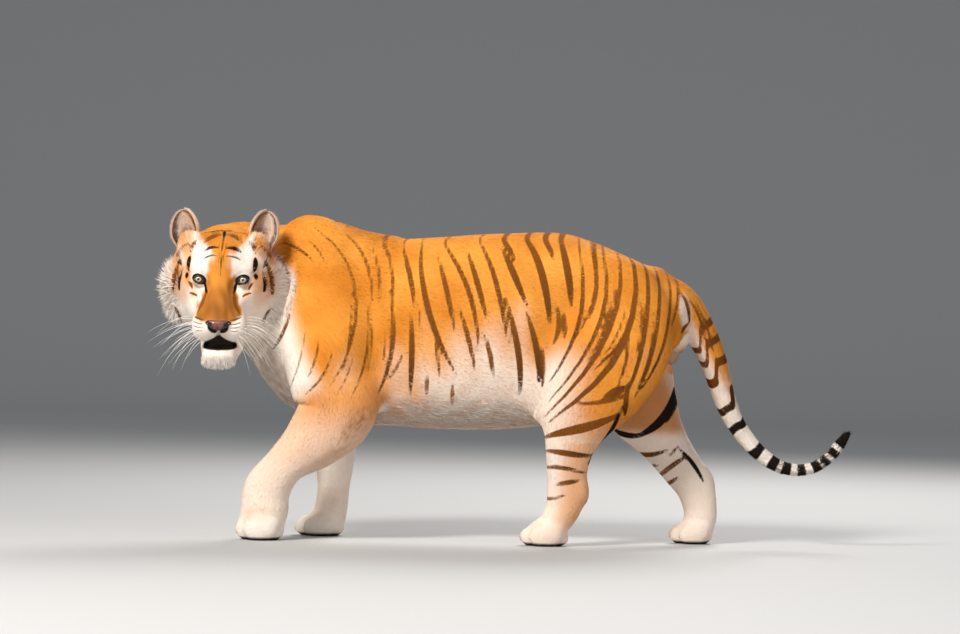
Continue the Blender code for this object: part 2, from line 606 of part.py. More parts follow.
def main():
    clear_scene()
    tiger = group("tiger")
    cutters = group("cutters", hidden=True)
    gold = material("gold_coat", COATS["gold"], 0.8)
    cream = material("cream_coat", COATS["cream"], 0.8)
    leather = material("nose_leather", COATS["nose"], 0.45)
    glassy = material("eye_glass", COATS["eye"], 0.1)

    whole = fused_flesh(cutters)
    mesh = evaluated(whole)
    cut_soles(mesh)
    bpy.data.objects.remove(whole)
    mouth_place, mouth_size, mouth_pitch = MOUTH
    mouth = egg_mesh(
        "mouth",
        head_matrix() @ Matrix.Translation(mouth_place) @ Matrix.Rotation(math.radians(mouth_pitch), 4, "Y"),
        mouth_size,
    )
    mesh = carve(mesh, mouth, cutters)
    whole = object_of("whole", mesh, cutters)
    pieces = part_flesh(whole, cutters)

    for side in (1, -1):
        socket = egg_mesh("socket", eye_matrix(side), (EYE_RADIUS + GAP,) * 3, 12)
        pieces["head"] = carve(pieces["head"], socket, cutters)
    nose = nose_mesh(cutters)
    nose_bed = grown_copy(nose, 2 * GAP, cutters)
    pieces["head"] = carve(pieces["head"], nose_bed.data, cutters)
    bpy.data.objects.remove(nose_bed)

    made = {}
    for name, data in pieces.items():
        made[name] = object_of(name, data, tiger)
        made[name].data.materials.clear()
        pale = name in ("lower_jaw", "forepaw_left", "forepaw_right", "hindpaw_left", "hindpaw_right")
        made[name].data.materials.append(cream if pale else gold)
    for name, side in (("ear_left", 1), ("ear_right", -1)):
        made[name] = object_of(name, make_ear(side, pieces["head"], cutters), tiger)
        made[name].data.materials.append(gold)
    for name, side in (("eye_left", 1), ("eye_right", -1)):
        made[name] = object_of(name, egg_mesh(name, eye_matrix(side), (EYE_RADIUS,) * 3, 12), tiger)
        made[name].data.materials.append(glassy)
        made[name].data.shade_smooth()
    made["nose"] = object_of("nose", nose, tiger)
    made["nose"].data.materials.append(leather)
    made["nose"].data.shade_smooth()

    corners = np.vstack([[v.co[:] for v in obj.data.vertices] for obj in made.values()])
    middle = (corners.min(0) + corners.max(0)) / 2
    for obj in made.values():
        obj.location = (-middle[0], -middle[1], 0)
    print("origin moved by", [round(float(v), 4) for v in middle[:2]])
    bpy.data.collections.remove(cutters)


main()
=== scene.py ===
# %% [markdown]
# # A walking tiger
# A golden tabby tiger stands on its four paws in a slow walk, with its head turned to look at us.
# The solids of the frame give its size and outline, out to the tips of the coat. This lesson lays one
# continuous skin just inside them, gives it its markings, and then covers it with tufts of real mesh.

# %% Loading the fixed frame
import math
import bpy
import bmesh
import numpy as np
from mathutils import Matrix, Vector


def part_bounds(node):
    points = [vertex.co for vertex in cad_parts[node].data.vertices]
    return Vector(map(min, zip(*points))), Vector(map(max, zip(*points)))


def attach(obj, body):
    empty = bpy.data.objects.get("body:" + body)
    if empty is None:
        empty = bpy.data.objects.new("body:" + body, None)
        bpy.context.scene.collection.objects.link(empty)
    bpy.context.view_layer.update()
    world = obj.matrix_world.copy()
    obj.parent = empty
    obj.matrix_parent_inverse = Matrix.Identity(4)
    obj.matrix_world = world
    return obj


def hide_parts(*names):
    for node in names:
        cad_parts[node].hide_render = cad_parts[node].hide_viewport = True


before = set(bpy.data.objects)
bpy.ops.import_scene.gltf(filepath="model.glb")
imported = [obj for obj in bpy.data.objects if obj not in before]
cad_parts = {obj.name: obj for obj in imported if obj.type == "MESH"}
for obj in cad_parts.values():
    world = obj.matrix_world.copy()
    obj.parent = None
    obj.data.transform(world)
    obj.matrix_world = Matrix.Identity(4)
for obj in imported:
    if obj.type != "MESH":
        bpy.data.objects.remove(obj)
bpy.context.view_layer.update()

print("nodes in the frame:", len(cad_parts))

# %% [markdown]
# The body plan is drawn round a point on the floor under the middle of the trunk, while the frame has its
# origin under the middle of the whole box. The left eye is in both, so the step between them is read from it.

# %% Where the plan lies in the frame
EYES_AT = np.array([-0.742, -0.290, 0.747])    # the point midway between the eyes, in the plan
EYE_SPREAD, EYE_RADIUS, EYE_SET_BACK = 0.0625, 0.018, 0.0065
HEAD_PITCH = math.radians(30)


def head_axes():
    """Unit vectors forward, left and up of the head: it looks along -Y and is lowered by its pitch."""
    drop, level = math.sin(HEAD_PITCH), math.cos(HEAD_PITCH)
    return np.array([[0, -level, -drop], [1, 0, 0], [0, -drop, level]])


HEAD = head_axes()


def head_point(forward, left, up):
    """Plan position of a place given in the head's own axes."""
    return EYES_AT + np.array([forward, left, up]) @ HEAD


def in_head(points):
    """Forward, left and up of plan points, measured from between the eyes."""
    return (points - EYES_AT) @ HEAD.T


def in_half_head(points):
    """The same with the right half folded onto the left one, so that one formula serves both."""
    at = in_head(points)
    return np.stack([at[:, 0], np.abs(at[:, 1]), at[:, 2]], 1)


eye_box = np.array(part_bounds("eye_left"))
STEP = eye_box.mean(0) - head_point(-EYE_SET_BACK, EYE_SPREAD, 0)
STEP[2] = 0
print("step from the plan to the frame:", STEP.round(4))

# %% [markdown]
# ## The camera and the studio
# The camera stands ten metres off, level with the middle of the trunk, with a long lens, which keeps the
# near and the far legs almost the same size. It is made first, so that every later look is comparable.

# %% Camera, floor and lights
def add_camera():
    """The camera, rolled by a little over one degree."""
    data = bpy.data.cameras.new("camera")
    data.sensor_width, data.lens = 36.0, 127.5
    data.clip_end = 60
    camera = bpy.data.objects.new("camera", data)
    bpy.context.scene.collection.objects.link(camera)
    place = Matrix.Translation(Vector((0, -10, 0.66)) + Vector(STEP))
    camera.matrix_world = place @ Matrix.Rotation(math.radians(90), 4, "X") @ Matrix.Rotation(0.022, 4, "Z")
    bpy.context.scene.camera = camera


def add_light(name, kind, place, target, energy, size, colour):
    """A lamp at a place, aimed at its target: a round sheet of light or a distant sun."""
    data = bpy.data.lights.new(name, kind)
    data.energy, data.color = energy, colour
    if kind == "AREA":
        data.shape, data.size = "DISK", size
    else:
        data.angle = size
    lamp = bpy.data.objects.new(name, data)
    bpy.context.scene.collection.objects.link(lamp)
    lamp.location = place
    lamp.rotation_euler = (Vector(target) - Vector(place)).to_track_quat("-Z", "Y").to_euler()


def new_mesh(name, points, faces):
    """A smooth-shaded mesh from an array of points and a list of faces."""
    mesh = bpy.data.meshes.new(name)
    mesh.from_pydata(points.reshape(-1, 3).tolist(), [], faces)
    mesh.shade_smooth()
    return mesh


def add_floor():
    """A large pale sheet with a soft upward sweep far behind the animal."""
    across = np.linspace(-20, 20, 41)
    deep = np.linspace(-16, 19, 71)
    x, y = np.meshgrid(across, deep, indexing="ij")
    z = 1.1 * np.clip((y - 12.0) / 3.0, 0, None) ** 2
    index = np.arange(x.size).reshape(x.shape)
    faces = np.stack([index[:-1, :-1], index[1:, :-1], index[1:, 1:], index[:-1, 1:]], -1).reshape(-1, 4)
    mesh = new_mesh("floor", np.stack([x, y, z], -1), faces.tolist())
    floor = bpy.data.objects.new("floor", mesh)
    bpy.context.scene.collection.objects.link(floor)
    paper = bpy.data.materials.new("floor_paper")
    paper.use_nodes = True
    shader = paper.node_tree.nodes["Principled BSDF"]
    shader.inputs["Base Color"].default_value = (0.46, 0.455, 0.45, 1)
    shader.inputs["Roughness"].default_value = 0.75
    mesh.materials.append(paper)


add_camera()
add_floor()
add_light("key", "AREA", (-3.2, -4.6, 4.6), (0, 0, 0.5), 570, 1.8, (1.0, 0.97, 0.93))
add_light("fill", "AREA", (4.2, -4.0, 2.4), (0, 0, 0.5), 70, 4.0, (0.94, 0.97, 1.0))
add_light("rim", "AREA", (1.5, 4.2, 4.2), (0, 0, 0.6), 280, 3.0, (1.0, 0.98, 0.95))
world = bpy.data.worlds.new("studio")
world.use_nodes = True
sky = world.node_tree.nodes["Background"]
sky.inputs["Color"].default_value = (0.86, 0.90, 0.95, 1)
sky.inputs["Strength"].default_value = 0.31
bpy.context.scene.world = world
bpy.context.scene.view_settings.view_transform = "Standard"
print("camera, floor and three lamps are in place")

# %% [markdown]
# ## The body as a field
# Flesh has no edges, so the skin isn't put together from separate shells. Each limb is a distance field
# round a smooth path, and eggs stand for muscle and bone. A smooth minimum melts them into each other, and
# the skin is the surface on which the field is zero. Every station below is one place on a path: x, y, z of
# its core, then the half sizes over it, under it and to its sides.

# %% Stations of the body
TRUNK = [
    (-0.57, 0.0, 0.665, 0.232, 0.175, 0.091), (-0.52, 0.0, 0.655, 0.268, 0.248, 0.132),
    (-0.45, 0.0, 0.645, 0.276, 0.290, 0.157), (-0.36, 0.0, 0.635, 0.262, 0.300, 0.171),
    (-0.25, 0.0, 0.630, 0.258, 0.300, 0.182), (-0.12, 0.0, 0.628, 0.268, 0.304, 0.191),
    (0.00, 0.0, 0.628, 0.278, 0.304, 0.193), (0.12, 0.0, 0.632, 0.281, 0.300, 0.187),
    (0.20, 0.0, 0.638, 0.279, 0.290, 0.178), (0.27, 0.0, 0.645, 0.270, 0.260, 0.169),
    (0.34, 0.0, 0.652, 0.244, 0.202, 0.160), (0.42, 0.0, 0.660, 0.205, 0.160, 0.149),
    (0.50, 0.0, 0.670, 0.160, 0.133, 0.129), (0.56, 0.0, 0.680, 0.114, 0.096, 0.091),
    (0.598, 0.0, 0.690, 0.068, 0.045, 0.050),
]
NECK = [
    (-0.742, -0.190, 0.780, 0.105, 0.100, 0.100), (-0.737, -0.120, 0.762, 0.163, 0.150, 0.128),
    (-0.690, -0.050, 0.738, 0.194, 0.145, 0.140), (-0.600, -0.010, 0.700, 0.236, 0.192, 0.150),
    (-0.480, 0.000, 0.660, 0.268, 0.276, 0.156), (-0.300, 0.000, 0.640, 0.250, 0.290, 0.158),
]
FORELEG_LEFT = [
    (-0.490, -0.080, 0.850, 0.055, 0.060, 0.040), (-0.470, -0.115, 0.740, 0.105, 0.095, 0.070),
    (-0.452, -0.142, 0.610, 0.122, 0.115, 0.078), (-0.432, -0.155, 0.480, 0.118, 0.122, 0.078),
    (-0.418, -0.154, 0.385, 0.128, 0.112, 0.076), (-0.478, -0.147, 0.292, 0.096, 0.088, 0.068),
    (-0.550, -0.138, 0.217, 0.058, 0.070, 0.060), (-0.604, -0.131, 0.150, 0.072, 0.072, 0.061),
    (-0.620, -0.127, 0.090, 0.078, 0.066, 0.062), (-0.626, -0.125, 0.040, 0.072, 0.064, 0.060),
]
FORELEG_RIGHT = [
    (-0.470, 0.085, 0.860, 0.070, 0.060, 0.045), (-0.460, 0.120, 0.740, 0.110, 0.105, 0.075),
    (-0.455, 0.145, 0.610, 0.120, 0.125, 0.080), (-0.440, 0.150, 0.480, 0.100, 0.112, 0.076),
    (-0.425, 0.145, 0.380, 0.086, 0.092, 0.070), (-0.424, 0.138, 0.290, 0.072, 0.074, 0.062),
    (-0.421, 0.132, 0.210, 0.058, 0.062, 0.054), (-0.422, 0.128, 0.140, 0.048, 0.054, 0.050),
    (-0.428, 0.125, 0.080, 0.048, 0.054, 0.052), (-0.438, 0.125, 0.040, 0.050, 0.056, 0.054),
]
HINDLEG_LEFT = [
    (0.430, -0.080, 0.780, 0.070, 0.080, 0.050), (0.420, -0.115, 0.690, 0.135, 0.125, 0.075),
    (0.398, -0.135, 0.600, 0.165, 0.150, 0.080), (0.345, -0.142, 0.480, 0.150, 0.142, 0.078),
    (0.292, -0.142, 0.375, 0.108, 0.106, 0.068), (0.268, -0.138, 0.300, 0.082, 0.076, 0.057),
    (0.262, -0.133, 0.222, 0.064, 0.062, 0.048), (0.264, -0.130, 0.158, 0.062, 0.062, 0.046),
    (0.254, -0.127, 0.104, 0.050, 0.056, 0.046), (0.226, -0.125, 0.062, 0.044, 0.048, 0.048),
    (0.196, -0.125, 0.040, 0.038, 0.040, 0.050),
]
HINDLEG_RIGHT = [
    (0.450, 0.080, 0.780, 0.070, 0.080, 0.050), (0.450, 0.115, 0.690, 0.110, 0.125, 0.075),
    (0.455, 0.135, 0.590, 0.118, 0.140, 0.080), (0.475, 0.138, 0.470, 0.112, 0.125, 0.076),
    (0.507, 0.136, 0.372, 0.100, 0.100, 0.066), (0.560, 0.132, 0.288, 0.078, 0.072, 0.055),
    (0.614, 0.128, 0.218, 0.066, 0.064, 0.048), (0.648, 0.125, 0.168, 0.064, 0.058, 0.045),
    (0.664, 0.122, 0.110, 0.056, 0.050, 0.043), (0.664, 0.120, 0.065, 0.052, 0.048, 0.045),
    (0.654, 0.120, 0.040, 0.042, 0.048, 0.048),
]
TAIL = [
    (0.500, 0.000, 0.760, 0.062, 0.060, 0.060), (0.555, 0.000, 0.728, 0.062, 0.056, 0.058),
    (0.600, 0.000, 0.690, 0.061, 0.050, 0.053), (0.637, 0.002, 0.638, 0.056, 0.045, 0.048),
    (0.666, 0.004, 0.590, 0.049, 0.042, 0.044), (0.691, 0.006, 0.540, 0.042, 0.041, 0.041),
    (0.709, 0.008, 0.483, 0.038, 0.037, 0.038), (0.730, 0.010, 0.423, 0.034, 0.034, 0.034),
    (0.755, 0.012, 0.372, 0.030, 0.031, 0.030), (0.790, 0.014, 0.322, 0.027, 0.028, 0.027),
    (0.832, 0.014, 0.278, 0.025, 0.026, 0.025), (0.884, 0.012, 0.243, 0.023, 0.023, 0.023),
    (0.940, 0.008, 0.230, 0.021, 0.021, 0.021), (0.992, 0.002, 0.240, 0.020, 0.020, 0.020),
    (1.032, -0.006, 0.268, 0.020, 0.020, 0.020), (1.060, -0.012, 0.302, 0.020, 0.020, 0.019),
    (1.082, -0.016, 0.335, 0.015, 0.015, 0.015),
]
print("stations of the trunk and the tail:", len(TRUNK), "and", len(TAIL))

# %% [markdown]
# A path is a Catmull-Rom curve through its stations. The field round it is that of a superellipse section:
# the nearest sample of the path gives a centre and two half sizes, and the point's place across them gives a
# radius r that is 1 on the surface. Its distance is then its length from the centre times (1 - 1/r).

# %% Tubes
PER_SPAN = 11           # samples between two stations
FAR = 0.25              # the field's value well away from a shape


def smooth_rows(rows, per_span=PER_SPAN):
    """Catmull-Rom curve through the rows: each span is half the sum of four weighted neighbours."""
    points = np.array(rows, float)
    points = np.vstack([2 * points[0] - points[1], points, 2 * points[-1] - points[-2]])
    t = np.linspace(0, 1, per_span, endpoint=False)[:, None]
    spans = [
        0.5 * (2 * b + (c - a) * t + (2 * a - 5 * b + 4 * c - d) * t**2 + (3 * b - a - 3 * c + d) * t**3)
        for a, b, c, d in zip(points, points[1:], points[2:], points[3:])
    ]
    return np.vstack([*spans, points[-2][None]])


def make_tube(stations, over_side, power):
    """Samples of a path with their slopes and their across, over and along vectors."""
    rows = smooth_rows(stations)
    slope = np.gradient(rows, axis=0)
    along = slope[:, :3] / np.linalg.norm(slope[:, :3], axis=1, keepdims=True)
    side = np.cross(np.array(over_side, float), along)
    side /= np.linalg.norm(side, axis=1, keepdims=True)
    over = np.cross(along, side)
    return {"rows": rows, "slope": slope, "along": along, "side": side, "over": over, "power": power}


TUBES = {
    "trunk": make_tube(TRUNK, (0, 0, 1), 2.25),
    "neck": make_tube(NECK, (0, 0, 1), 2.1),
    "foreleg_left": make_tube(FORELEG_LEFT, (1, 0, 0), 2.15),
    "foreleg_right": make_tube(FORELEG_RIGHT, (1, 0, 0), 2.15),
    "hindleg_left": make_tube(HINDLEG_LEFT, (1, 0, 0), 2.15),
    "hindleg_right": make_tube(HINDLEG_RIGHT, (1, 0, 0), 2.15),
    "tail": make_tube(TAIL, (0, 0, 1), 2.0),
}


def tube_place(points, tube):
    """For each point: the path's place s, and its offsets across, over and along from the core there."""
    rows = tube["rows"]
    nearest = np.empty(len(points), int)
    for start in range(0, len(points), 30000):
        chunk = points[start:start + 30000]
        gap = (rows[:, :3] ** 2).sum(1)[None] - 2 * chunk @ rows[:, :3].T
        nearest[start:start + 30000] = gap.argmin(1)
    core, slope = rows[nearest], tube["slope"][nearest]
    away = points - core[:, :3]
    t = np.clip((away * slope[:, :3]).sum(1) / (slope[:, :3] ** 2).sum(1), -0.5, 0.5)
    last = len(rows) - 1
    t = np.where((nearest == 0) & (t < 0) | (nearest == last) & (t > 0), 0, t)
    row = core + t[:, None] * slope
    away = points - row[:, :3]
    across = (away * tube["side"][nearest]).sum(1)
    over = (away * tube["over"][nearest]).sum(1)
    beyond = (away * tube["along"][nearest]).sum(1)
    beyond = np.where((nearest == 0) | (nearest == last), beyond, 0)
    return nearest + t, row, across, over, beyond


def tube_field(points, tube):
    """Distance to the tube's surface, negative inside; ends are rounded by 0.7 of their half width."""
    _, row, across, over, beyond = tube_place(points, tube)
    high = np.where(over > 0, row[:, 3], row[:, 4])
    shares = np.abs([across / row[:, 5], over / high, beyond / (0.7 * row[:, 5])])
    radius = (shares ** tube["power"]).sum(0) ** (1 / tube["power"]) + 1e-9
    size = np.sqrt(across**2 + over**2 + beyond**2)
    return size - size / radius


def egg_field(points, centre, radii, turn=0.0, power=2.0):
    """Distance to an egg: the length from its centre less that length over its scaled length.

    The turn is in degrees about the second axis, and a power above 2 makes the egg boxier.
    """
    away = points - np.array(centre)
    if turn:
        c, s = math.cos(math.radians(turn)), math.sin(math.radians(turn))
        away = np.stack([c * away[:, 0] - s * away[:, 2], away[:, 1], s * away[:, 0] + c * away[:, 2]], 1)
    if power == 2:
        scaled = np.linalg.norm(away / radii, axis=1)
        return scaled * (scaled - 1) / (np.linalg.norm(away / np.square(radii), axis=1) + 1e-9)
    scaled = (np.abs(away / radii) ** power).sum(1) ** (1 / power) + 1e-9
    return np.linalg.norm(away, axis=1) * (1 - 1 / scaled)


def melt(a, b, reach):
    """Smooth minimum: where two surfaces come within the reach they run together."""
    mix = np.clip(reach - np.abs(a - b), 0, None) / reach
    return np.minimum(a, b) - mix * mix * reach / 4


def carve(a, b, reach):
    """Smooth cut of the shape b out of a."""
    return -melt(-a, b, reach)


def meet(a, b, reach):
    """Smooth maximum: what is inside both shapes."""
    return -melt(-a, -b, reach)


tail_steps = np.diff(TUBES["tail"]["rows"][:, :3], axis=0)
print("longest path:", round(float(np.linalg.norm(tail_steps, axis=1).sum()), 3), "m of tail")

# %% [markdown]
# Muscle and bone that show through the skin are eggs: shoulder blades, elbows, hips, knees, hocks and the
# fold of loose skin between belly and thigh. The numbers are centre, radii, turn and how far it melts.

# %% Eggs of the body
BODY_EGGS = {
    "trunk": [
        ((-0.498, -0.066, 0.855), (0.100, 0.048, 0.096), 8, 0.050),      # shoulder blades
        ((-0.492, 0.066, 0.857), (0.102, 0.048, 0.096), 8, 0.050),
        ((-0.552, 0.000, 0.510), (0.055, 0.110, 0.110), -20, 0.060),     # breast
        ((0.330, -0.095, 0.775), (0.160, 0.062, 0.080), 15, 0.050),      # hips
        ((0.330, 0.095, 0.775), (0.160, 0.062, 0.080), 15, 0.050),
        ((0.545, -0.060, 0.650), (0.056, 0.053, 0.095), 20, 0.040),      # buttocks
        ((0.545, 0.060, 0.650), (0.056, 0.053, 0.095), 20, 0.040),
    ],
    "foreleg_left": [
        ((-0.352, -0.145, 0.402), (0.046, 0.038, 0.060), 30, 0.040),     # point of the elbow
        ((-0.420, -0.158, 0.560), (0.070, 0.066, 0.110), 15, 0.040),     # three-headed muscle
    ],
    "foreleg_right": [
        ((-0.368, 0.140, 0.392), (0.045, 0.038, 0.055), 30, 0.040),
        ((-0.420, 0.160, 0.560), (0.070, 0.066, 0.110), 15, 0.040),
    ],
    "hindleg_left": [
        ((0.280, -0.125, 0.400), (0.075, 0.052, 0.075), 0, 0.050),       # knee
        ((0.300, -0.135, 0.160), (0.024, 0.024, 0.036), -20, 0.022),     # point of the hock
        ((0.205, -0.120, 0.455), (0.080, 0.022, 0.085), 0, 0.060),       # fold to the belly
    ],
    "hindleg_right": [
        ((0.480, 0.125, 0.385), (0.085, 0.052, 0.075), 0, 0.050),
        ((0.680, 0.127, 0.195), (0.022, 0.022, 0.036), -20, 0.022),
        ((0.300, 0.120, 0.430), (0.110, 0.022, 0.085), 0, 0.060),
    ],
}
SCROTUM = [
    ((0.583, -0.022, 0.600), (0.032, 0.028, 0.036), 10), ((0.563, 0.018, 0.566), (0.031, 0.027, 0.036), 10),
]
# Paws: heel x, y of the middle line, length, width, height of the toes; they point to -X.
PAWS = {
    "foreleg_left": (-0.552, -0.125, 0.146, 0.136, 0.058),
    "foreleg_right": (-0.388, 0.125, 0.154, 0.134, 0.056),
    "hindleg_left": (0.282, -0.125, 0.158, 0.122, 0.054),
    "hindleg_right": (0.714, 0.120, 0.142, 0.120, 0.054),
}
TOES = 4


def paw_field(points, heel_x, middle_y, length, width, height):
    """A back, a heel pad and four toes in a fan, each toe an egg with a knuckle behind it."""
    step, toe_long = width / TOES, 0.30 * length
    back_middle = (heel_x - 0.50 * length, middle_y, height * 0.62)
    back = egg_field(points, back_middle, (0.36 * length, 0.43 * width, height * 0.62))
    pad = egg_field(points, (heel_x - 0.36 * length, middle_y, 0.022), (0.30 * length, 0.36 * width, 0.028))
    paw = melt(back, pad, 0.015)
    toes = np.full(len(points), FAR)
    for i in range(TOES):
        off = (i - (TOES - 1) / 2) / ((TOES - 1) / 2)
        reach = length - toe_long - 0.030 * off * off
        tip = (heel_x - reach, middle_y + off * 1.42 * step, height * 0.48)
        toe = egg_field(points, tip, (toe_long, 0.54 * step, height * 0.48 + 0.006))
        knuckle = (heel_x - reach + 0.02, middle_y + off * 1.30 * step, height * 0.70)
        toe = melt(toe, egg_field(points, knuckle, (0.030, 0.50 * step, height * 0.42)), 0.014)
        toes = melt(toes, toe, 0.005)
    return melt(paw, toes, 0.012)


print("eggs:", sum(len(e) for e in BODY_EGGS.values()), "and", len(PAWS), "paws of", TOES, "toes")

# %% [markdown]
# ## The head
# A tiger's head is wide across the cheekbones, flat down the bridge of the nose and deep in the muzzle. It
# is worked out on its left half only, in the head's own axes, so the two halves match. The eyeballs
# push the skin out into lids, and an almond opening is then cut through them.

# %% Field of the head
HEAD_EGGS = [
    ((-0.118, 0.000, 0.012), (0.122, 0.096, 0.086), 0, 2.0, 0.02),       # cranium
    ((-0.062, 0.000, 0.016), (0.076, 0.074, 0.072), 0, 2.0, 0.040),      # forehead
    ((-0.062, 0.070, -0.032), (0.070, 0.054, 0.052), 0, 2.0, 0.045),     # cheekbone
    ((0.028, 0.000, -0.026), (0.098, 0.036, 0.037), 27, 2.5, 0.026),     # bridge of the nose
    ((0.040, 0.000, -0.084), (0.078, 0.068, 0.052), 20, 2.4, 0.030),     # muzzle
    ((0.020, 0.034, -0.058), (0.062, 0.034, 0.042), 26, 2.0, 0.026),     # upper jaw below the eye
    ((-0.060, 0.062, -0.095), (0.078, 0.056, 0.068), 0, 2.0, 0.045),     # jaw muscle
    ((0.0552, 0.000, -0.1956), (0.108, 0.056, 0.037), -22, 2.2, 0.030),   # lower jaw
    ((-0.0257, 0.000, -0.2054), (0.085, 0.062, 0.058), -20, 2.0, 0.040),  # throat behind the jaw
    ((0.004, 0.050, -0.128), (0.050, 0.022, 0.050), 30, 2.0, 0.026),     # cheek at the corner of the mouth
    ((-0.101, 0.082, 0.041), (0.052, 0.052, 0.055), 0, 2.0, 0.030),      # mound under the ear
    ((-0.092, 0.080, -0.065), (0.068, 0.082, 0.092), 0, 2.0, 0.050),     # cheek
    ((-0.108, 0.104, -0.096), (0.050, 0.078, 0.088), 0, 2.0, 0.040),     # ruff
    ((-0.098, 0.072, -0.136), (0.060, 0.084, 0.056), 0, 2.0, 0.040),     # ruff under the jaw
    ((-0.030, 0.060, 0.030), (0.026, 0.036, 0.016), 20, 2.0, 0.026),     # brow
    ((0.082, 0.041, -0.103), (0.044, 0.040, 0.042), 16, 2.3, 0.020),     # whisker pad
    ((0.100, 0.000, -0.076), (0.034, 0.036, 0.028), 20, 2.3, 0.018),     # nose tip
    ((0.1320, 0.000, -0.1767), (0.026, 0.046, 0.024), -20, 2.3, 0.020),  # chin
]
MOUTH = ((0.1140, 0.000, -0.1374), (0.080, 0.053, 0.0185), -30, 3.0)
LID_LIFT = 0.0042             # thickness of a lid over the eyeball
LID_OPEN = (0.0142, 0.0090)   # half width and half height of the opening
LID_TILT = math.radians(20)   # the outer corner is higher


def eye_plane(at):
    """Offsets across, up and ahead from an eye's middle, along its level line of sight, in head places.

    Across and up are turned by the tilt of the lids, whose outer corner is the higher one.
    """
    level, drop = math.cos(HEAD_PITCH), math.sin(HEAD_PITCH)
    out, forward = at[:, 1] - EYE_SPREAD, at[:, 0] + EYE_SET_BACK
    over, ahead = level * at[:, 2] - drop * forward, level * forward + drop * at[:, 2]
    c, s = math.cos(LID_TILT), math.sin(LID_TILT)
    return c * out + s * over, c * over - s * out, ahead


def over_eyes(at):
    """Height over the eyes of places in the head."""
    return math.cos(HEAD_PITCH) * at[:, 2] - math.sin(HEAD_PITCH) * at[:, 0]


def mouth_field(at):
    """The open mouth: a boxy egg, under an upper lip whose edge falls to both sides of the middle."""
    under_lip = (over_eyes(at) + 0.1590 + 0.80 * np.abs(at[:, 1]) - 7.0 * at[:, 1] ** 2) / 1.15
    return meet(egg_field(at, *MOUTH), under_lip, 0.006)


def head_field(points):
    """Melts the eggs in order, cuts the mouth, the cleft of the lip and the orbits, and adds the lids."""
    at = in_half_head(points)
    field = np.full(len(points), FAR)
    for centre, radii, pitch, power, reach in HEAD_EGGS:
        field = melt(field, egg_field(at, centre, radii, pitch, power), reach)
    field = carve(field, mouth_field(at), 0.006)
    cleft = egg_field(at, (0.134, 0.000, -0.114), (0.030, 0.0030, 0.026), 0)
    field = carve(field, cleft, 0.008)
    orbit = egg_field(at, (0.034, 0.068, -0.002), (0.036, 0.034, 0.026), 0)
    field = carve(field, orbit, 0.020)
    ball = np.linalg.norm(at - (-EYE_SET_BACK, EYE_SPREAD, 0), axis=1)
    field = melt(field, ball - EYE_RADIUS - LID_LIFT, 0.010)
    return field


def lid_opening(points):
    """The opening between the lids, in front of either eyeball: an almond along the line of sight."""
    across, up, ahead = eye_plane(in_half_head(points))
    share = np.abs(across) / LID_OPEN[0]
    almond = np.sqrt(share**2 + (up / (LID_OPEN[1] * (1 - 0.25 * np.minimum(share, 1)))) ** 2) - 1
    return np.maximum(almond * LID_OPEN[1], 0.002 - ahead)


print("eggs of the head:", len(HEAD_EGGS))

# %% [markdown]
# All parts are kept apart as well as melted together, because the nearest part later says which way the
# hair lies and where a place belongs on the unwrapped skin.

# %% The whole field
PART_REACH = {           # how far each part melts into those before it
    "trunk": 0, "neck": 0.035, "head": 0.050, "foreleg_left": 0.055, "foreleg_right": 0.055,
    "hindleg_left": 0.060, "hindleg_right": 0.060, "tail": 0.040, "scrotum": 0.014,
}
PARTS = list(PART_REACH)
# Their rows in an array with one row for each part, in the same order.
ON_TRUNK, ON_NECK, ON_HEAD = 0, 1, 2
ON_FORE_LEFT, ON_FORE_RIGHT, ON_HIND_LEFT, ON_HIND_RIGHT = 3, 4, 5, 6
ON_TAIL, ON_PURSE = 7, 8
ON_LEGS = slice(ON_FORE_LEFT, ON_TAIL)
MARGIN = 0.09           # a part is only worked out this far beyond its own box


def part_box(name):
    """Low and high corners of a part, with the margin."""
    if name == "head":
        low, high = EYES_AT - (0.25, 0.20, 0.30), EYES_AT + (0.25, 0.30, 0.20)
    elif name == "scrotum":
        low, high = np.array((0.51, -0.08, 0.51)), np.array((0.64, 0.08, 0.66))
    else:
        rows = TUBES[name]["rows"]
        reach = rows[:, 3:6].max(1)[:, None]
        low, high = (rows[:, :3] - reach).min(0), (rows[:, :3] + reach).max(0)
    return low - MARGIN, high + MARGIN


def part_field(points, name):
    """One part's own field: its tube with its eggs and its paw, or the head's or the scrotum's eggs."""
    if name == "head":
        return head_field(points)
    if name == "scrotum":
        return melt(egg_field(points, *SCROTUM[0]), egg_field(points, *SCROTUM[1]), 0.010)
    field = tube_field(points, TUBES[name])
    for centre, radii, turn, reach in BODY_EGGS.get(name, []):
        field = melt(field, egg_field(points, centre, radii, turn), reach)
    if name in PAWS:
        low = points[:, 2] < 0.16
        paw = np.full(len(points), FAR)
        paw[low] = paw_field(points[low], *PAWS[name])
        field = melt(field, paw, 0.020)
    return field


def part_fields(points):
    """One row for each part: its own field at each point."""
    fields = np.full((len(PARTS), len(points)), FAR)
    for i, name in enumerate(PARTS):
        low, high = part_box(name)
        near = np.all((points > low) & (points < high), axis=1)
        fields[i, near] = part_field(points[near], name)
    return fields


def together(fields):
    """All parts melted into one, in their order."""
    whole = fields[ON_TRUNK]
    for field, name in zip(fields[1:], PARTS[1:]):
        whole = melt(whole, field, PART_REACH[name])
    return whole


def nearer(fields, part):
    """How much nearer a part's surface is than that of any other part."""
    return np.delete(fields, part, 0).min(0) - fields[part]


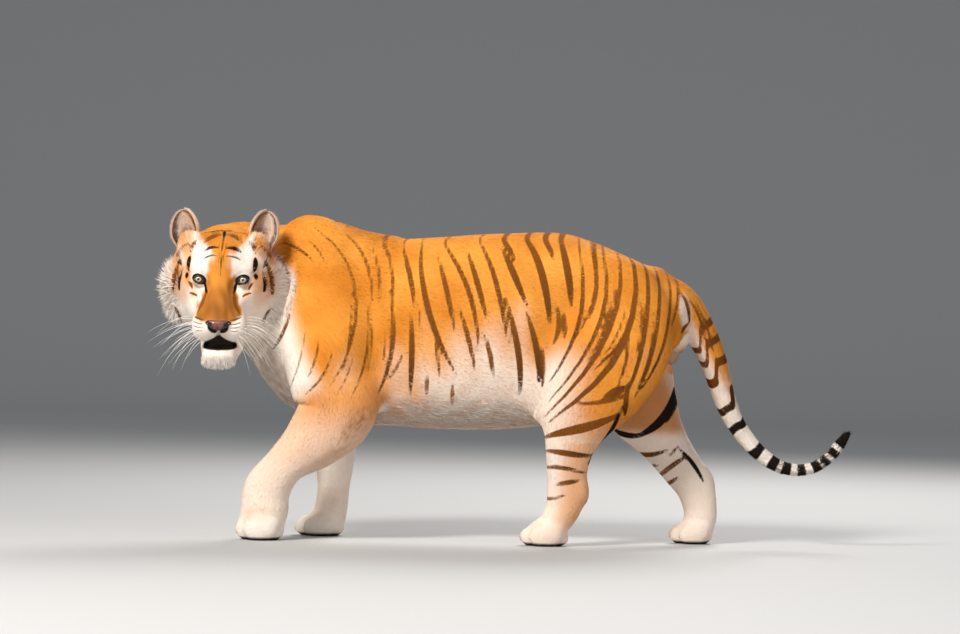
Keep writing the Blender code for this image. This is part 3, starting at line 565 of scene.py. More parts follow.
def coat_depth(points, fields):
    """How far the skin lies inside the outline: deepest in the ruff, thin on the face and feet."""
    at = in_head(points)
    depth = np.full(len(points), 0.0042)
    face = np.clip((at[:, 0] + 0.055) / 0.05, 0, 1)
    ruff = 0.013 * np.exp(-(((np.abs(at[:, 1]) - 0.17) / 0.06) ** 2) - ((at[:, 2] + 0.10) / 0.10) ** 2)
    in_head_part = np.clip(nearer(fields, ON_HEAD) / 0.03 + 1, 0, 1)
    depth = depth + in_head_part * (ruff - 0.0020 * face)
    low = np.clip((0.16 - points[:, 2]) / 0.10, 0, 1)
    depth = depth * (1 - 0.4 * low)
    return depth + 0.006 * np.clip((0.42 - points[:, 2]) / 0.06, 0, 1) * (fields[ON_TRUNK] < 0.02)


def skin_field(points):
    """The skin: the melted parts less the coat's depth, opened at the eyes and flat on the floor."""
    fields = part_fields(points)
    whole = together(fields) + coat_depth(points, fields)
    whole = carve(whole, lid_opening(points), 0.0015)
    return np.maximum(whole, 0.0005 - points[:, 2])


print("parts:", ", ".join(PARTS))

# %% [markdown]
# ## From field to mesh
# A surface net puts one vertex into each cell of a grid that the surface crosses, at the mean of the
# places where it crosses the cell's edges, and one face across each crossed edge.

# %% Surface net
def surface_net(values, low, step):
    """Vertices and quads of the zero surface of a grid of values."""
    inside = values < 0
    shape = tuple(n - 1 for n in values.shape)
    total, hits = np.zeros(shape + (3,)), np.zeros(shape)
    for axis in range(3):
        for u in (0, 1):
            for v in (0, 1):
                start, end = [0, 0, 0], [0, 0, 0]
                others = [a for a in range(3) if a != axis]
                start[others[0]] = end[others[0]] = u
                start[others[1]] = end[others[1]] = v
                end[axis] = 1
                cut_a = tuple(slice(s, s + n) for s, n in zip(start, shape))
                cut_b = tuple(slice(s, s + n) for s, n in zip(end, shape))
                crossed = inside[cut_a] != inside[cut_b]
                cells = np.nonzero(crossed)
                a, b = values[cut_a][cells], values[cut_b][cells]
                offset = np.tile(np.array(start, float), (len(a), 1))
                offset[:, axis] = a / (a - b)
                total[cells] += offset
                hits[cells] += 1
    cells = np.nonzero(hits)
    number = np.full(shape, -1)
    number[cells] = np.arange(len(cells[0]))
    points = low + step * (np.stack(cells, 1) + total[cells] / hits[cells][:, None])
    quads = []
    for axis in range(3):
        u, v = [a for a in range(3) if a != axis]
        cut_a = [slice(1, n - 1) for n in values.shape]
        cut_b = list(cut_a)
        cut_a[axis], cut_b[axis] = slice(0, -1), slice(1, None)
        first, second = inside[tuple(cut_a)], inside[tuple(cut_b)]
        at = np.stack(np.nonzero(first != second), 1)
        outward = first[tuple(at.T)]
        at = at + np.array([0 if a == axis else 1 for a in range(3)])
        back_u, back_v = np.zeros(3, int), np.zeros(3, int)
        back_u[u], back_v[v] = 1, 1
        ring = [at - back_u - back_v, at - back_v, at, at - back_u]
        quad = np.stack([number[tuple(corner.T)] for corner in ring], 1)
        flip = outward if axis != 1 else ~outward
        quads.append(np.where(flip[:, None], quad, quad[:, ::-1]))
    return points, np.concatenate(quads)


def net_of(field, low, high, step):
    """Samples a field on a grid over a box and returns its surface net."""
    axes = [np.arange(a, b + step, step) for a, b in zip(low, high)]
    grid = np.stack(np.meshgrid(*axes, indexing="ij"), -1)
    values = field(grid.reshape(-1, 3)).reshape(grid.shape[:3])
    return surface_net(values, np.array([axis[0] for axis in axes]), step)


SKIN_STEP = 0.0100
skin_points, skin_quads = net_of(skin_field, (-0.99, -0.46, -0.017), (1.12, 0.25, 0.99), SKIN_STEP)
print("skin net:", len(skin_points), "vertices,", len(skin_quads), "quads")

# %% [markdown]
# The net is even but coarse. The head and the paws get more faces, and each vertex then slides along
# the field's slope until it lies on the surface.

# %% Finer where it matters
def settle(points, field, rounds=3, reach=0.006):
    """Newton steps: a point moves by the field's value over its slope, against the slope."""
    step = 0.0008
    for _ in range(rounds):
        value = field(points)
        slope = np.stack([field(points + step * axis) - value for axis in np.eye(3)], 1) / step
        move = value[:, None] * slope / np.maximum((slope**2).sum(1), 0.2)[:, None]
        length = np.linalg.norm(move, axis=1, keepdims=True)
        points = points - move * np.minimum(1, reach / np.maximum(length, 1e-9))
    return points


def relax(points, faces, rounds, weight=0.5):
    """Moves each vertex towards the mean of its neighbours along the mesh's edges."""
    edges = np.concatenate([faces, np.roll(faces, -1, 1)], 0).reshape(2, -1).T
    count = np.bincount(edges[:, 0], minlength=len(points)) + np.bincount(edges[:, 1], minlength=len(points))
    for _ in range(rounds):
        total = np.zeros_like(points)
        for axis in range(3):
            total[:, axis] += np.bincount(edges[:, 0], points[edges[:, 1], axis], len(points))
            total[:, axis] += np.bincount(edges[:, 1], points[edges[:, 0], axis], len(points))
        points = points + weight * (total / count[:, None] - points)
    return points


def refine(mesh, chosen):
    """Cuts every chosen face in four, with clean joins to the faces round them."""
    work = bmesh.new()
    work.from_mesh(mesh)
    work.faces.ensure_lookup_table()
    work.edges.ensure_lookup_table()
    edges = sorted({edge.index for i in chosen for edge in work.faces[i].edges})
    bmesh.ops.subdivide_edges(work, edges=[work.edges[i] for i in edges], cuts=1, use_grid_fill=True)
    bmesh.ops.triangulate(work, faces=[face for face in work.faces if len(face.verts) > 4])
    work.to_mesh(mesh)
    work.free()


def mesh_points(mesh):
    """Positions of the mesh's vertices."""
    points = np.empty(len(mesh.vertices) * 3)
    mesh.vertices.foreach_get("co", points)
    return points.reshape(-1, 3)


def face_centres(mesh):
    """Middles of the mesh's faces."""
    centres = np.empty(len(mesh.polygons) * 3)
    mesh.polygons.foreach_get("center", centres)
    return centres.reshape(-1, 3)


skin_points = settle(relax(skin_points, skin_quads, 2), skin_field, 2)
skin_mesh = new_mesh("skin", skin_points, skin_quads.tolist())
for zone in ("head", "face", "eyes"):
    centres = face_centres(skin_mesh)
    at = in_half_head(centres)
    if zone == "head":
        in_zone = np.linalg.norm((at + (0.03, 0, 0.06)) / (0.20, 0.24, 0.22), axis=1) < 1
        in_zone |= centres[:, 2] < 0.085        # the paws, too
    elif zone == "face":
        in_zone = (at[:, 0] > -0.035) & (at[:, 1] < 0.10) & (at[:, 2] > -0.26) & (at[:, 2] < 0.06)
    else:
        in_zone = np.linalg.norm(at - (0, EYE_SPREAD, 0), axis=1) < 0.026
    refine(skin_mesh, np.nonzero(in_zone)[0])
    skin_mesh.vertices.foreach_set("co", settle(mesh_points(skin_mesh), skin_field, 2).ravel())
print("skin:", len(skin_mesh.vertices), "vertices,", len(skin_mesh.polygons), "faces")

# %% [markdown]
# ## Which way the hair lies
# Hair runs backwards from the nose, along the trunk to the tail, and down each leg to the toes. Each part
# knows its own direction at every place, and the directions are mixed by how near the parts' surfaces are.

# %% Lie of the coat
NOSE_TIP = head_point(0.140, 0.0, -0.070)


def unit(vectors):
    """The vectors at length one."""
    return vectors / np.maximum(np.linalg.norm(vectors, axis=1, keepdims=True), 1e-9)


def part_lie(points, name):
    """Direction of the hair on one part: along its path, or away from the tip of the nose on the head."""
    if name == "head":
        away = unit(points - NOSE_TIP)
        at = in_head(points)
        low = np.clip((-0.02 - at[:, 2]) / 0.10, 0, 1) * np.clip((0.03 - at[:, 0]) / 0.05, 0, 1)
        return unit(away + low[:, None] * np.array([0, 0, -0.9]))
    if name == "scrotum":
        return np.tile([0.0, 0.0, -1.0], (len(points), 1))
    tube = TUBES[name]
    place = tube_place(points, tube)[0]
    whole = np.clip(np.round(place).astype(int), 0, len(tube["along"]) - 1)
    lie = tube["along"][whole]
    if name == "trunk":
        return unit(lie + np.array([0, 0, -0.22]))
    if name in PAWS:
        toes = np.clip((0.085 - points[:, 2]) / 0.05, 0, 1)[:, None]
        upper = np.clip((points[:, 2] - 0.42) / 0.25, 0, 1)[:, None]
        lie = lie * (1 - toes) + toes * np.array([-1, 0, -0.25])
        return unit(lie + upper * np.array([1.1, 0, 0.1]))
    return lie


def coat_lie(points, fields, normals):
    """The parts' directions weighted by nearness, laid into the surface."""
    gap = fields - fields.min(0)
    weight = np.exp(-gap / 0.018) * (gap < 0.08)
    total = np.zeros_like(points)
    for i, name in enumerate(PARTS):
        near = weight[i] > 1e-4
        total[near] += weight[i, near, None] * part_lie(points[near], name)
    total -= (total * normals).sum(1)[:, None] * normals
    return unit(total)


print("hair runs away from", NOSE_TIP.round(3))

# %% [markdown]
# ## The markings
# A golden tabby keeps a tiger's pattern in brown on gold. Each stripe is one stroke: where it starts and
# ends, how far its middle bows to the side, half its width, and how dark its end is. A place's mark is the
# half width there less its distance to the stroke, so that one number serves skin and tufts alike.

# %% Stripes of the body
# On the flank, as x and z of the start, x and z of the end, bow, half width in mm and darkness of the end.
FLANK = [
    (-0.49, 0.92, -0.43, 0.45, 0.102, 5, 0.4), (-0.40, 0.89, -0.31, 0.68, 0.025, 6, 0.2),
    (-0.33, 0.70, -0.37, 0.42, 0.026, 4, 0.4), (-0.33, 0.86, -0.29, 0.68, 0.016, 6, 0.2),
    (-0.28, 0.86, -0.25, 0.68, 0.012, 6, 0.3), (-0.26, 0.73, -0.29, 0.44, 0.025, 7, 0.8),
    (-0.27, 0.65, -0.28, 0.52, 0.004, 4, 0.4), (-0.23, 0.86, -0.19, 0.69, 0.009, 8, 0.3),
    (-0.20, 0.67, -0.20, 0.43, 0.004, 9, 0.8), (-0.42, 0.56, -0.50, 0.42, 0.014, 4, 0.9),
    (-0.31, 0.70, -0.32, 0.50, 0.006, 3, 0.3), (-0.18, 0.70, -0.17, 0.56, 0.003, 4, 0.3),
    (-0.30, 0.87, -0.27, 0.82, 0.003, 5, 0.2), (-0.36, 0.55, -0.41, 0.43, 0.006, 3, 0.4),
    (-0.58, 0.87, -0.49, 0.81, 0.010, 5, 0.4), (-0.51, 0.88, -0.46, 0.81, 0.006, 4, 0.3),
    (-0.59, 0.83, -0.55, 0.75, 0.004, 5, 0.5), (-0.60, 0.80, -0.58, 0.74, 0.002, 5, 0.5),
    (-0.17, 0.87, -0.06, 0.48, -0.033, 9, 0.4), (-0.13, 0.60, -0.11, 0.47, 0.000, 6, 0.4),
    (-0.12, 0.83, -0.07, 0.61, 0.000, 8, 0.3), (-0.11, 0.88, 0.01, 0.55, 0.021, 8, 0.4),
    (-0.06, 0.68, 0.00, 0.49, 0.004, 8, 0.4), (-0.04, 0.85, 0.03, 0.64, 0.000, 9, 0.3),
    (-0.01, 0.89, 0.09, 0.59, 0.013, 8, 0.5), (0.06, 0.86, 0.14, 0.70, 0.000, 10, 0.5),
    (0.08, 0.71, 0.12, 0.45, 0.016, 9, 0.8), (0.14, 0.68, 0.17, 0.49, 0.010, 9, 0.9),
    (0.12, 0.90, 0.20, 0.66, 0.021, 11, 0.5), (0.22, 0.90, 0.26, 0.71, 0.011, 11, 0.5),
    (0.22, 0.71, 0.21, 0.60, 0.011, 8, 0.3), (0.05, 0.90, 0.10, 0.82, 0.004, 8, 0.3),
    (0.17, 0.90, 0.21, 0.83, 0.004, 8, 0.3), (-0.15, 0.49, -0.15, 0.42, 0.000, 7, 0.3),
    (-0.07, 0.45, -0.07, 0.39, 0.000, 7, 0.2), (0.025, 0.60, 0.05, 0.49, 0.004, 8, 0.3),
    (0.18, 0.59, 0.18, 0.47, 0.004, 6, 0.9),
    (0.24, 0.69, 0.24, 0.61, 0.004, 6, 0.3), (-0.22, 0.56, -0.26, 0.48, 0.004, 5, 0.6),
    # The first stroke of the next row is a dark streak below the cheek ruff, and also paints the shade
    # between the ruff and the throat.
    (-0.548, 0.655, -0.600, 0.550, 0.006, 6, 0.9), (-0.500, 0.62, -0.540, 0.44, 0.010, 3, 0.3),
    (-0.46, 0.60, -0.49, 0.47, 0.008, 4, 0.8), (-0.375, 0.72, -0.39, 0.50, 0.010, 4, 0.3),
]
HAUNCH = [
    (0.275, 0.91, 0.20, 0.48, 0.052, 7, 0.9), (0.305, 0.92, 0.313, 0.66, 0.026, 7, 0.3),
    (0.345, 0.93, 0.20, 0.42, 0.078, 7, 0.6), (0.400, 0.91, 0.19, 0.375, 0.082, 8, 0.4),
    (0.436, 0.90, 0.205, 0.355, 0.104, 9, 0.4), (0.476, 0.87, 0.42, 0.44, 0.032, 7, 0.5),
    (0.512, 0.855, 0.445, 0.44, 0.034, 6, 0.6), (0.545, 0.835, 0.463, 0.465, 0.040, 5, 0.9),
    (0.325, 0.92, 0.27, 0.60, 0.034, 5, 0.3), (0.384, 0.74, 0.313, 0.53, 0.016, 5, 0.3),
    (0.423, 0.70, 0.35, 0.53, 0.013, 4, 0.5), (0.44, 0.67, 0.33, 0.50, 0.018, 5, 0.8),
    (0.463, 0.70, 0.450, 0.56, 0.006, 4, 0.3), (0.50, 0.68, 0.455, 0.475, 0.014, 4, 0.6),
    (0.568, 0.81, 0.558, 0.65, 0.014, 5, 0.6), (0.372, 0.70, 0.345, 0.60, 0.004, 4, 0.2),
    (0.43, 0.62, 0.40, 0.47, 0.008, 5, 0.5), (0.455, 0.52, 0.36, 0.42, 0.012, 5, 0.4),
    (0.36, 0.425, 0.43, 0.47, 0.006, 9, 0.7), (0.425, 0.465, 0.42, 0.39, 0.000, 8, 0.9),
    (0.43, 0.45, 0.27, 0.40, 0.010, 6, 0.3), (0.395, 0.385, 0.19, 0.31, 0.014, 13, 0.3),
    (0.41, 0.41, 0.322, 0.236, 0.010, 7, 1.0), (0.19, 0.268, 0.335, 0.262, -0.004, 9, 0.9),
    (0.18, 0.215, 0.315, 0.212, 0.006, 7, 0.9), (0.23, 0.170, 0.300, 0.192, 0.000, 7, 0.8),
    (0.17, 0.122, 0.262, 0.148, -0.006, 5, 0.6),
]
# On the right hind leg, whose inner side shows from the animal's left.
INNER_HIND = [
    (0.40, 0.34, 0.50, 0.325, -0.014, 9, 1.0), (0.48, 0.32, 0.585, 0.46, -0.024, 14, 1.0),
    (0.56, 0.36, 0.60, 0.45, -0.004, 6, 1.0), (0.44, 0.27, 0.565, 0.278, -0.013, 8, 0.9),
    (0.485, 0.228, 0.54, 0.232, -0.003, 6, 0.8), (0.53, 0.185, 0.63, 0.262, 0.004, 8, 0.8),
    (0.55, 0.16, 0.605, 0.198, 0.000, 7, 0.7), (0.605, 0.28, 0.68, 0.185, 0.008, 7, 1.0),
    (0.57, 0.255, 0.60, 0.29, 0.000, 5, 0.8),
]
# On the face, mirrored: distance from the middle and height over the eyes.
FACE = [
    (0.000, 0.154, 0.000, 0.012, 0.000, 1.3, 1.0), (0.000, 0.146, 0.000, 0.126, 0.000, 3.8, 1.0),
    (0.012, 0.094, 0.052, 0.083, 0.006, 4.6, 1.0), (0.014, 0.071, 0.052, 0.059, 0.006, 2.8, 1.0),
    (0.008, 0.133, 0.056, 0.111, 0.005, 5.4, 0.3), (0.003, 0.146, 0.066, 0.136, 0.004, 3.4, 1.0),
    (0.000, 0.166, 0.076, 0.150, 0.004, 2.4, 1.0), (0.010, 0.110, 0.006, 0.050, 0.000, 1.2, 0.7),
    (0.093, 0.068, 0.094, 0.028, 0.002, 6.2, 1.0), (0.122, 0.061, 0.129, 0.044, 0.000, 6.5, 1.0),
    (0.129, 0.050, 0.143, -0.038, 0.006, 6.5, 0.5), (0.113, 0.038, 0.122, -0.028, 0.005, 4.8, 1.0),
    (0.098, 0.022, 0.101, 0.007, 0.000, 5.2, 1.0), (0.074, 0.118, 0.093, 0.082, 0.003, 5.5, 0.2),
    (0.100, 0.106, 0.140, 0.062, 0.006, 4.5, 0.2), (0.093, -0.004, 0.082, -0.022, -0.002, 3.6, 0.4),
    (0.088, -0.034, 0.066, -0.044, -0.002, 3.6, 0.2), (0.046, -0.004, 0.038, -0.036, 0.000, 4.4, 1.0),
    (0.039, -0.030, 0.059, -0.092, -0.003, 4.0, 0.1), (0.150, -0.070, 0.120, -0.118, -0.006, 5.0, 0.5),
]
WHISKER_ROWS = [
    (0.036, -0.113, 0.066, -0.103, -0.002, 2.6, 0.8), (0.038, -0.124, 0.068, -0.117, -0.002, 1.5, 0.7),
    (0.038, -0.134, 0.068, -0.129, -0.002, 1.3, 0.6), (0.040, -0.143, 0.064, -0.140, -0.002, 1.2, 0.6),
]
# Lengthwise on the tail's root, whose inner side is pale.
TAIL_ROOT = [
    (0.585, 0.745, 0.612, 0.655, 0.008, 6, 0.9), (0.612, 0.725, 0.665, 0.600, 0.008, 5, 0.5),
    (0.632, 0.715, 0.690, 0.570, 0.006, 4, 0.4), (0.612, 0.655, 0.590, 0.625, -0.004, 6, 0.9),
]
# Along the tail, in stations from its root: the middles of its rings, and where its tip turns black.
TAIL_RINGS = [3.5, 4.35, 5.4, 6.9, 8.2, 9.8, 10.8, 11.5, 12.3, 13.15, 13.8, 14.5]
TAIL_TIP = 15.1
TAIL_SPAN = 0.056       # metres between two of its stations
STROKE_STEPS = 8
MARK_REACH = 0.015      # marks are only measured this far from a stroke's edge


def stroke_marks(across, height, strokes, grow=1.0):
    """Mark and darkness of places: the largest half width less distance over all the strokes.

    A stroke is a quadratic curve whose middle is its bow off the straight line, to the left of its way.
    Its half width rises from about a third at its ends as a power of a sine. A stroke whose end is almost
    black is dark all along, and any other starts brown.
    """
    mark, dark = np.full(len(across), -MARK_REACH), np.zeros(len(across))
    t = np.linspace(0, 1, STROKE_STEPS + 1)[:, None]
    for x0, z0, x1, z1, bow, half, end_dark in strokes:
        start, end = np.array([x0, z0]), np.array([x1, z1])
        way = end - start
        middle = (start + end) / 2 + 2 * bow * np.array([-way[1], way[0]]) / np.linalg.norm(way)
        curve = (1 - t) ** 2 * start + 2 * t * (1 - t) * middle + t**2 * end
        pad = half * 0.001 + MARK_REACH
        low, high = curve.min(0) - pad, curve.max(0) + pad
        near = np.nonzero((across > low[0]) & (across < high[0]) & (height > low[1]) & (height < high[1]))[0]
        place = np.stack([across[near], height[near]], 1)
        best, along = np.full(len(near), 1.0), np.zeros(len(near))
        for i, (a, b) in enumerate(zip(curve, curve[1:])):
            step = b - a
            s = np.clip(((place - a) @ step) / (step @ step), 0, 1)
            gap = np.linalg.norm(place - a - s[:, None] * step, axis=1)
            closer = gap < best
            best = np.where(closer, gap, best)
            along = np.where(closer, (i + s) / STROKE_STEPS, along)
        width = 0.001 * half * grow * (0.36 + 0.64 * np.sin(math.pi * np.clip(along, 0.02, 0.98)) ** 0.7)
        value = width - best
        wins = value > mark[near]
        mark[near[wins]] = value[wins]
        first = end_dark if end_dark >= 0.95 else 0.15
        dark[near[wins]] = (first + (end_dark - first) * along**1.5)[wins]
    return mark, dark


def stronger(one, other):
    """The larger of two marks at each place, with its darkness."""
    return np.maximum(one[0], other[0]), np.where(other[0] > one[0], other[1], one[1])


def wander(points, scale, seed):
    """A smooth wave between -1 and 1 over space: a product of sines of three slanted sums."""
    turns = np.random.default_rng(seed).normal(size=(3, 3)) * scale
    return np.prod(np.sin(points @ turns.T + seed), axis=1) * 1.6


print("strokes:", sum(map(len, (FLANK, HAUNCH, INNER_HIND, FACE, WHISKER_ROWS, TAIL_ROOT))))

# %% [markdown]
# The ground colour is one number too, from 0 for cream white to 1 for gold. Gold covers the back, the
# flanks and the outer thighs. The belly, chest, ruff and cheeks are white, and the legs turn pale downwards.
# The face comes first: its band of gold narrows from the crown to between the eyes and widens to the snout.

# %% Marks of the face
def ramp(value, low, high):
    """0 below low, 1 above high, smooth between; a falling ramp has its low above its high."""
    t = np.clip((value - low) / (high - low), 0, 1)
    return t * t * (3 - 2 * t)


def face_marks(points):
    """Gold, stripes and snout of the head, from the distance to its middle and the height over the eyes."""
    height = points[:, 2] - EYES_AT[2]
    ragged = 0.0022 * wander(points, 30, 5) + 0.0020 * wander(points, 95, 15)
    side = np.abs(points[:, 0] - EYES_AT[0] - 0.03 * height) + 0.5 * ragged
    strokes = stroke_marks(side, height + 0.0018 * wander(points, 30, 6), FACE)
    rows, rows_dark = stroke_marks(side, height, WHISKER_ROWS)
    rows = np.where(in_head(points)[:, 0] > 0.03, rows, -MARK_REACH)
    mark, dark = stronger(strokes, (rows, rows_dark))
    band = np.interp(
        height, [-0.115, -0.095, -0.061, -0.027, 0.0, 0.035, 0.05, 0.075, 0.095, 0.105, 0.13, 0.16, 0.2],
        [0.054, 0.067, 0.057, 0.047, 0.040, 0.032, 0.028, 0.026, 0.036, 0.054, 0.070, 0.094, 0.14],
    )
    soft = np.interp(height, [-0.10, 0.0, 0.06, 0.10], [0.008, 0.007, 0.016, 0.012])
    gold = ramp(side + 2.0 * ragged, band + soft, band - soft) * ramp(height, -0.124, -0.108)
    streaky = 0.72 + 0.30 * wander(points * (1.0, 1.0, 0.4), 70, 19)
    temple = streaky * ramp(side, 0.080, 0.096) * ramp(side, 0.168, 0.128)
    temple = temple * ramp(height, -0.085, 0.010) * ramp(height, 0.190, 0.135)
    cheek = 0.38 * ramp(side, 0.058, 0.072) * ramp(side, 0.098, 0.080)
    cheek = cheek * ramp(height, -0.062, -0.040) * ramp(height, 0.004, -0.012)
    gold = np.maximum(np.maximum(gold, temple), cheek)
    snout = (0.25 + 0.75 * ramp(height, 0.045, -0.085)) * ramp(side + ragged, band + 0.004, band - 0.008)
    snout = snout * (0.85 + 0.25 * wander(points, 60, 17))
    return gold, 1.7 * mark + 0.0006, dark, snout * ramp(height, -0.124, -0.108)


print("strokes of the face:", len(FACE), "and rows of dots on its pads:", len(WHISKER_ROWS))

# %% [markdown]
# On the body the same strokes serve both flanks. Slow waves keep edges from running straight, and on the
# right side a drift moves the stripes, so that they don't mirror the left ones. The right hind leg is
# farther back than the left, so its outer side reads the left leg's marks at a shifted place.

# %% Stripes and gold of the body
# How far the right hind leg is behind the left one, by height.
LEG_HEIGHTS = [0.11, 0.168, 0.218, 0.288, 0.372, 0.48, 0.60, 0.70]
LEG_SHIFTS = [0.41, 0.384, 0.352, 0.294, 0.215, 0.13, 0.05, 0.0]
# Across the neck, at four places along it: x and z of its middle line.
NECK_ACROSS = [-0.19, -0.12, -0.05, -0.01]
NECK_X, NECK_Z = [-0.742, -0.737, -0.690, -0.600], [0.780, 0.762, 0.738, 0.700]


def waves(points):
    """Two slow waves that bend stripes and edges: one along the body, one up it."""
    return 0.006 * wander(points, 9, 1), 0.010 * wander(points, 6, 2)


def right_hind(points, fields):
    """Where its inner side is, where its outer side is, and x as on the left hind leg there."""
    x, y, z = points.T
    outer = (y > 0.13) & (x > 0.10)
    leg, trunk = fields[ON_HIND_RIGHT], fields[ON_TRUNK]
    inner = (leg < trunk - 0.01) & (z < 0.50) | (leg < 0.02) & (z < 0.46)
    return inner & ~outer, outer, x - outer * np.interp(z, LEG_HEIGHTS, LEG_SHIFTS)


def body_stripes(points, fields):
    """Mark and darkness from the strokes of the flank, the haunch and the inner hind leg."""
    x, y, z = points.T
    sway, lift = waves(points)
    drift = np.where(y > 0, 0.022 * np.sin(9 * z + 4 * x), 0) * ramp(np.abs(y), 0.02, 0.10)
    inner_hind, _, x_leg = right_hind(points, fields)
    flank = stroke_marks(x + sway + drift, z + lift - 0.045 * ramp(np.abs(y), 0.10, 0.01), FLANK)
    haunch = stroke_marks(x_leg + sway + drift, z + lift, HAUNCH)
    inner = stroke_marks(x + sway, z, INNER_HIND)
    haunch[0][inner_hind] = -MARK_REACH
    inner[0][~inner_hind] = -MARK_REACH
    return stronger(stronger(flank, haunch), inner)


def trunk_gold(points):
    """Gold of trunk and neck: it frays out in streaks at the belly and ends before the shoulders."""
    x, y, z = points.T
    sway, lift = waves(points)
    belly = np.interp(
        x, [-0.40, -0.30, -0.22, -0.15, -0.08, 0.02, 0.12, 0.18, 0.26],
        [0.36, 0.39, 0.44, 0.48, 0.51, 0.545, 0.555, 0.48, 0.40],
    )
    streaks = 0.050 * wander(points * (1.0, 1.0, 0.22), 34, 4)
    gold = ramp(z + 1.4 * lift + streaks, belly - 0.120, belly + 0.165)
    gold = gold * np.maximum(ramp(np.abs(y), 0.02, 0.09), ramp(z, 0.46, 0.56))
    gold = np.maximum(gold, ramp(z, 0.64, 0.74))
    gold = np.maximum(gold, 0.16 * (0.7 + 0.5 * wander(points * (1.0, 1.0, 0.35), 40, 12)))
    chest = np.interp(z, [0.42, 0.55, 0.66, 0.78, 0.84, 0.88], [-0.44, -0.505, -0.545, -0.575, -0.62, -0.70])
    core_x, core_z = np.interp(y, NECK_ACROSS, NECK_X), np.interp(y, NECK_ACROSS, NECK_Z)
    shoulder = ramp(x + 0.8 * sway, chest - 0.034, chest + 0.034)
    far_neck = ramp(core_x - x, -0.010, 0.045) * ramp(z - core_z + 3.0 * lift, -0.17, 0.03)
    nape = ramp(z - core_z + lift, 0.03, 0.10)
    return gold * np.maximum(np.maximum(shoulder, far_neck), nape)


def foreleg_gold(points, fields, gold):
    """Gold with the forelegs' own: a sleeve that fades down the outer side, and a tan wrist on the left."""
    x, y, z = points.T
    outer = ramp(np.abs(y), 0.115, 0.150)
    arm = (fields[ON_FORE_LEFT] < 0.03) | (fields[ON_FORE_RIGHT] < 0.03)
    gold = np.where(arm & (z < 0.55), gold * outer, gold)
    edge = ramp(x + 0.62 * (0.40 - z), -0.560, -0.480)
    sleeve = outer * edge * (0.10 + 0.26 * ramp(z, 0.14, 0.30) + 0.50 * ramp(z, 0.29, 0.42))
    sleeve = np.where(y < 0, sleeve, 0.5 * sleeve) + 0.04
    fore = arm * ramp(z, 0.50, 0.40)
    gold = gold * (1 - fore) + sleeve * fore
    wrist = np.exp(-((z - 0.080) / 0.024) ** 2 - ((x + 0.640) / 0.035) ** 2) * ramp(y, -0.09, -0.13)
    wrist = 0.42 * wrist * (0.7 + 0.5 * wander(points, 90, 20))
    return np.where((z < 0.14) & (x < -0.3), np.maximum(0.10 * ramp(z, 0.03, 0.10), wrist), gold)


def inner_thigh(points):
    """1 on the inner side of the right thigh, 0 below the knee and at the leg's back edge."""
    x, y, z = points.T
    return ramp(z, 0.31, 0.35) * ramp(x + 0.35 * z, 0.76, 0.70) * ramp(y, 0.17, 0.12)


def hindleg_gold(points, fields, gold):
    """Gold with the hind legs' own: each outer side is gold behind and white in front."""
    z = points[:, 2]
    inner_hind, outer_right, x_leg = right_hind(points, fields)
    leg = np.where(outer_right, fields[ON_HIND_RIGHT], fields[ON_HIND_LEFT])
    thigh = ramp(leg, 0.045, 0.005) * ramp(z, 0.62, 0.50)
    behind = ramp(x_leg - 0.10 * (z - 0.40), 0.205, 0.345)
    gold = gold * (1 - thigh) + thigh * (0.12 + 0.88 * ramp(z + 0.25 * (x_leg - 0.30), 0.22, 0.42) * behind)
    shank = 0.10 + 0.56 * ramp(x_leg - 0.1 * z, 0.195, 0.265) * ramp(z, 0.02, 0.09)
    gold = np.where((leg < 0.02) & (z < 0.30), shank, gold)
    return np.where(inner_hind, 0.08 + 0.72 * inner_thigh(points), gold)


def tail_marks(points, fields, gold, mark, dark):
    """The tail's rings and black tip, its pale inner side, and the white patch beside its root."""
    x, y, z = points.T
    place = tube_place(points, TUBES["tail"])[0] / PER_SPAN + 0.06 * wander(points, 22, 3)
    on_tail = (nearer(fields, ON_TAIL) > 0.004) & (x > 0.52)
    outer = ramp(x - np.interp(z, [0.2, 0.5, 0.75], [0.9, 0.705, 0.57]), -0.02, 0.02)
    slanted = place - 0.45 * (1 - 2 * outer) * ramp(place, 9.0, 6.5)
    to_ring = np.abs(slanted[:, None] - np.array(TAIL_RINGS)).min(1)
    half_ring = np.interp(place, [3, 7, 15], [0.17, 0.25, 0.23])
    rings = TAIL_SPAN * np.maximum(half_ring - to_ring, place - TAIL_TIP)
    mark = np.where(on_tail & (place > 2.6), rings, mark)
    dark = np.where(on_tail, 0.30 + 0.70 * ramp(place, 4.5, 8.5), dark)
    tail_gold = (0.12 + 0.88 * np.maximum(outer, ramp(place, 2.6, 1.6))) * ramp(place, 9.0, 4.5)
    gold = np.where(on_tail, tail_gold, gold)
    off_patch = np.hypot((x - 0.598 + 0.12 * (z - 0.69)) / 0.017, (z - 0.686) / 0.052)
    off_patch = off_patch + 0.08 * wander(points, 9, 1)
    gold = gold * (1 - 0.85 * ramp(off_patch, 1.3, 0.7) * (y < 0.06))
    root, root_dark = stroke_marks(x + 0.5 * waves(points)[0], z, TAIL_ROOT)
    rooted = (root > mark) & (x > 0.56) & (z > 0.55)
    return gold, np.where(rooted, root, mark), np.where(rooted, root_dark, dark)


print("neck measured at", len(NECK_X), "places and the right hind leg at", len(LEG_SHIFTS))
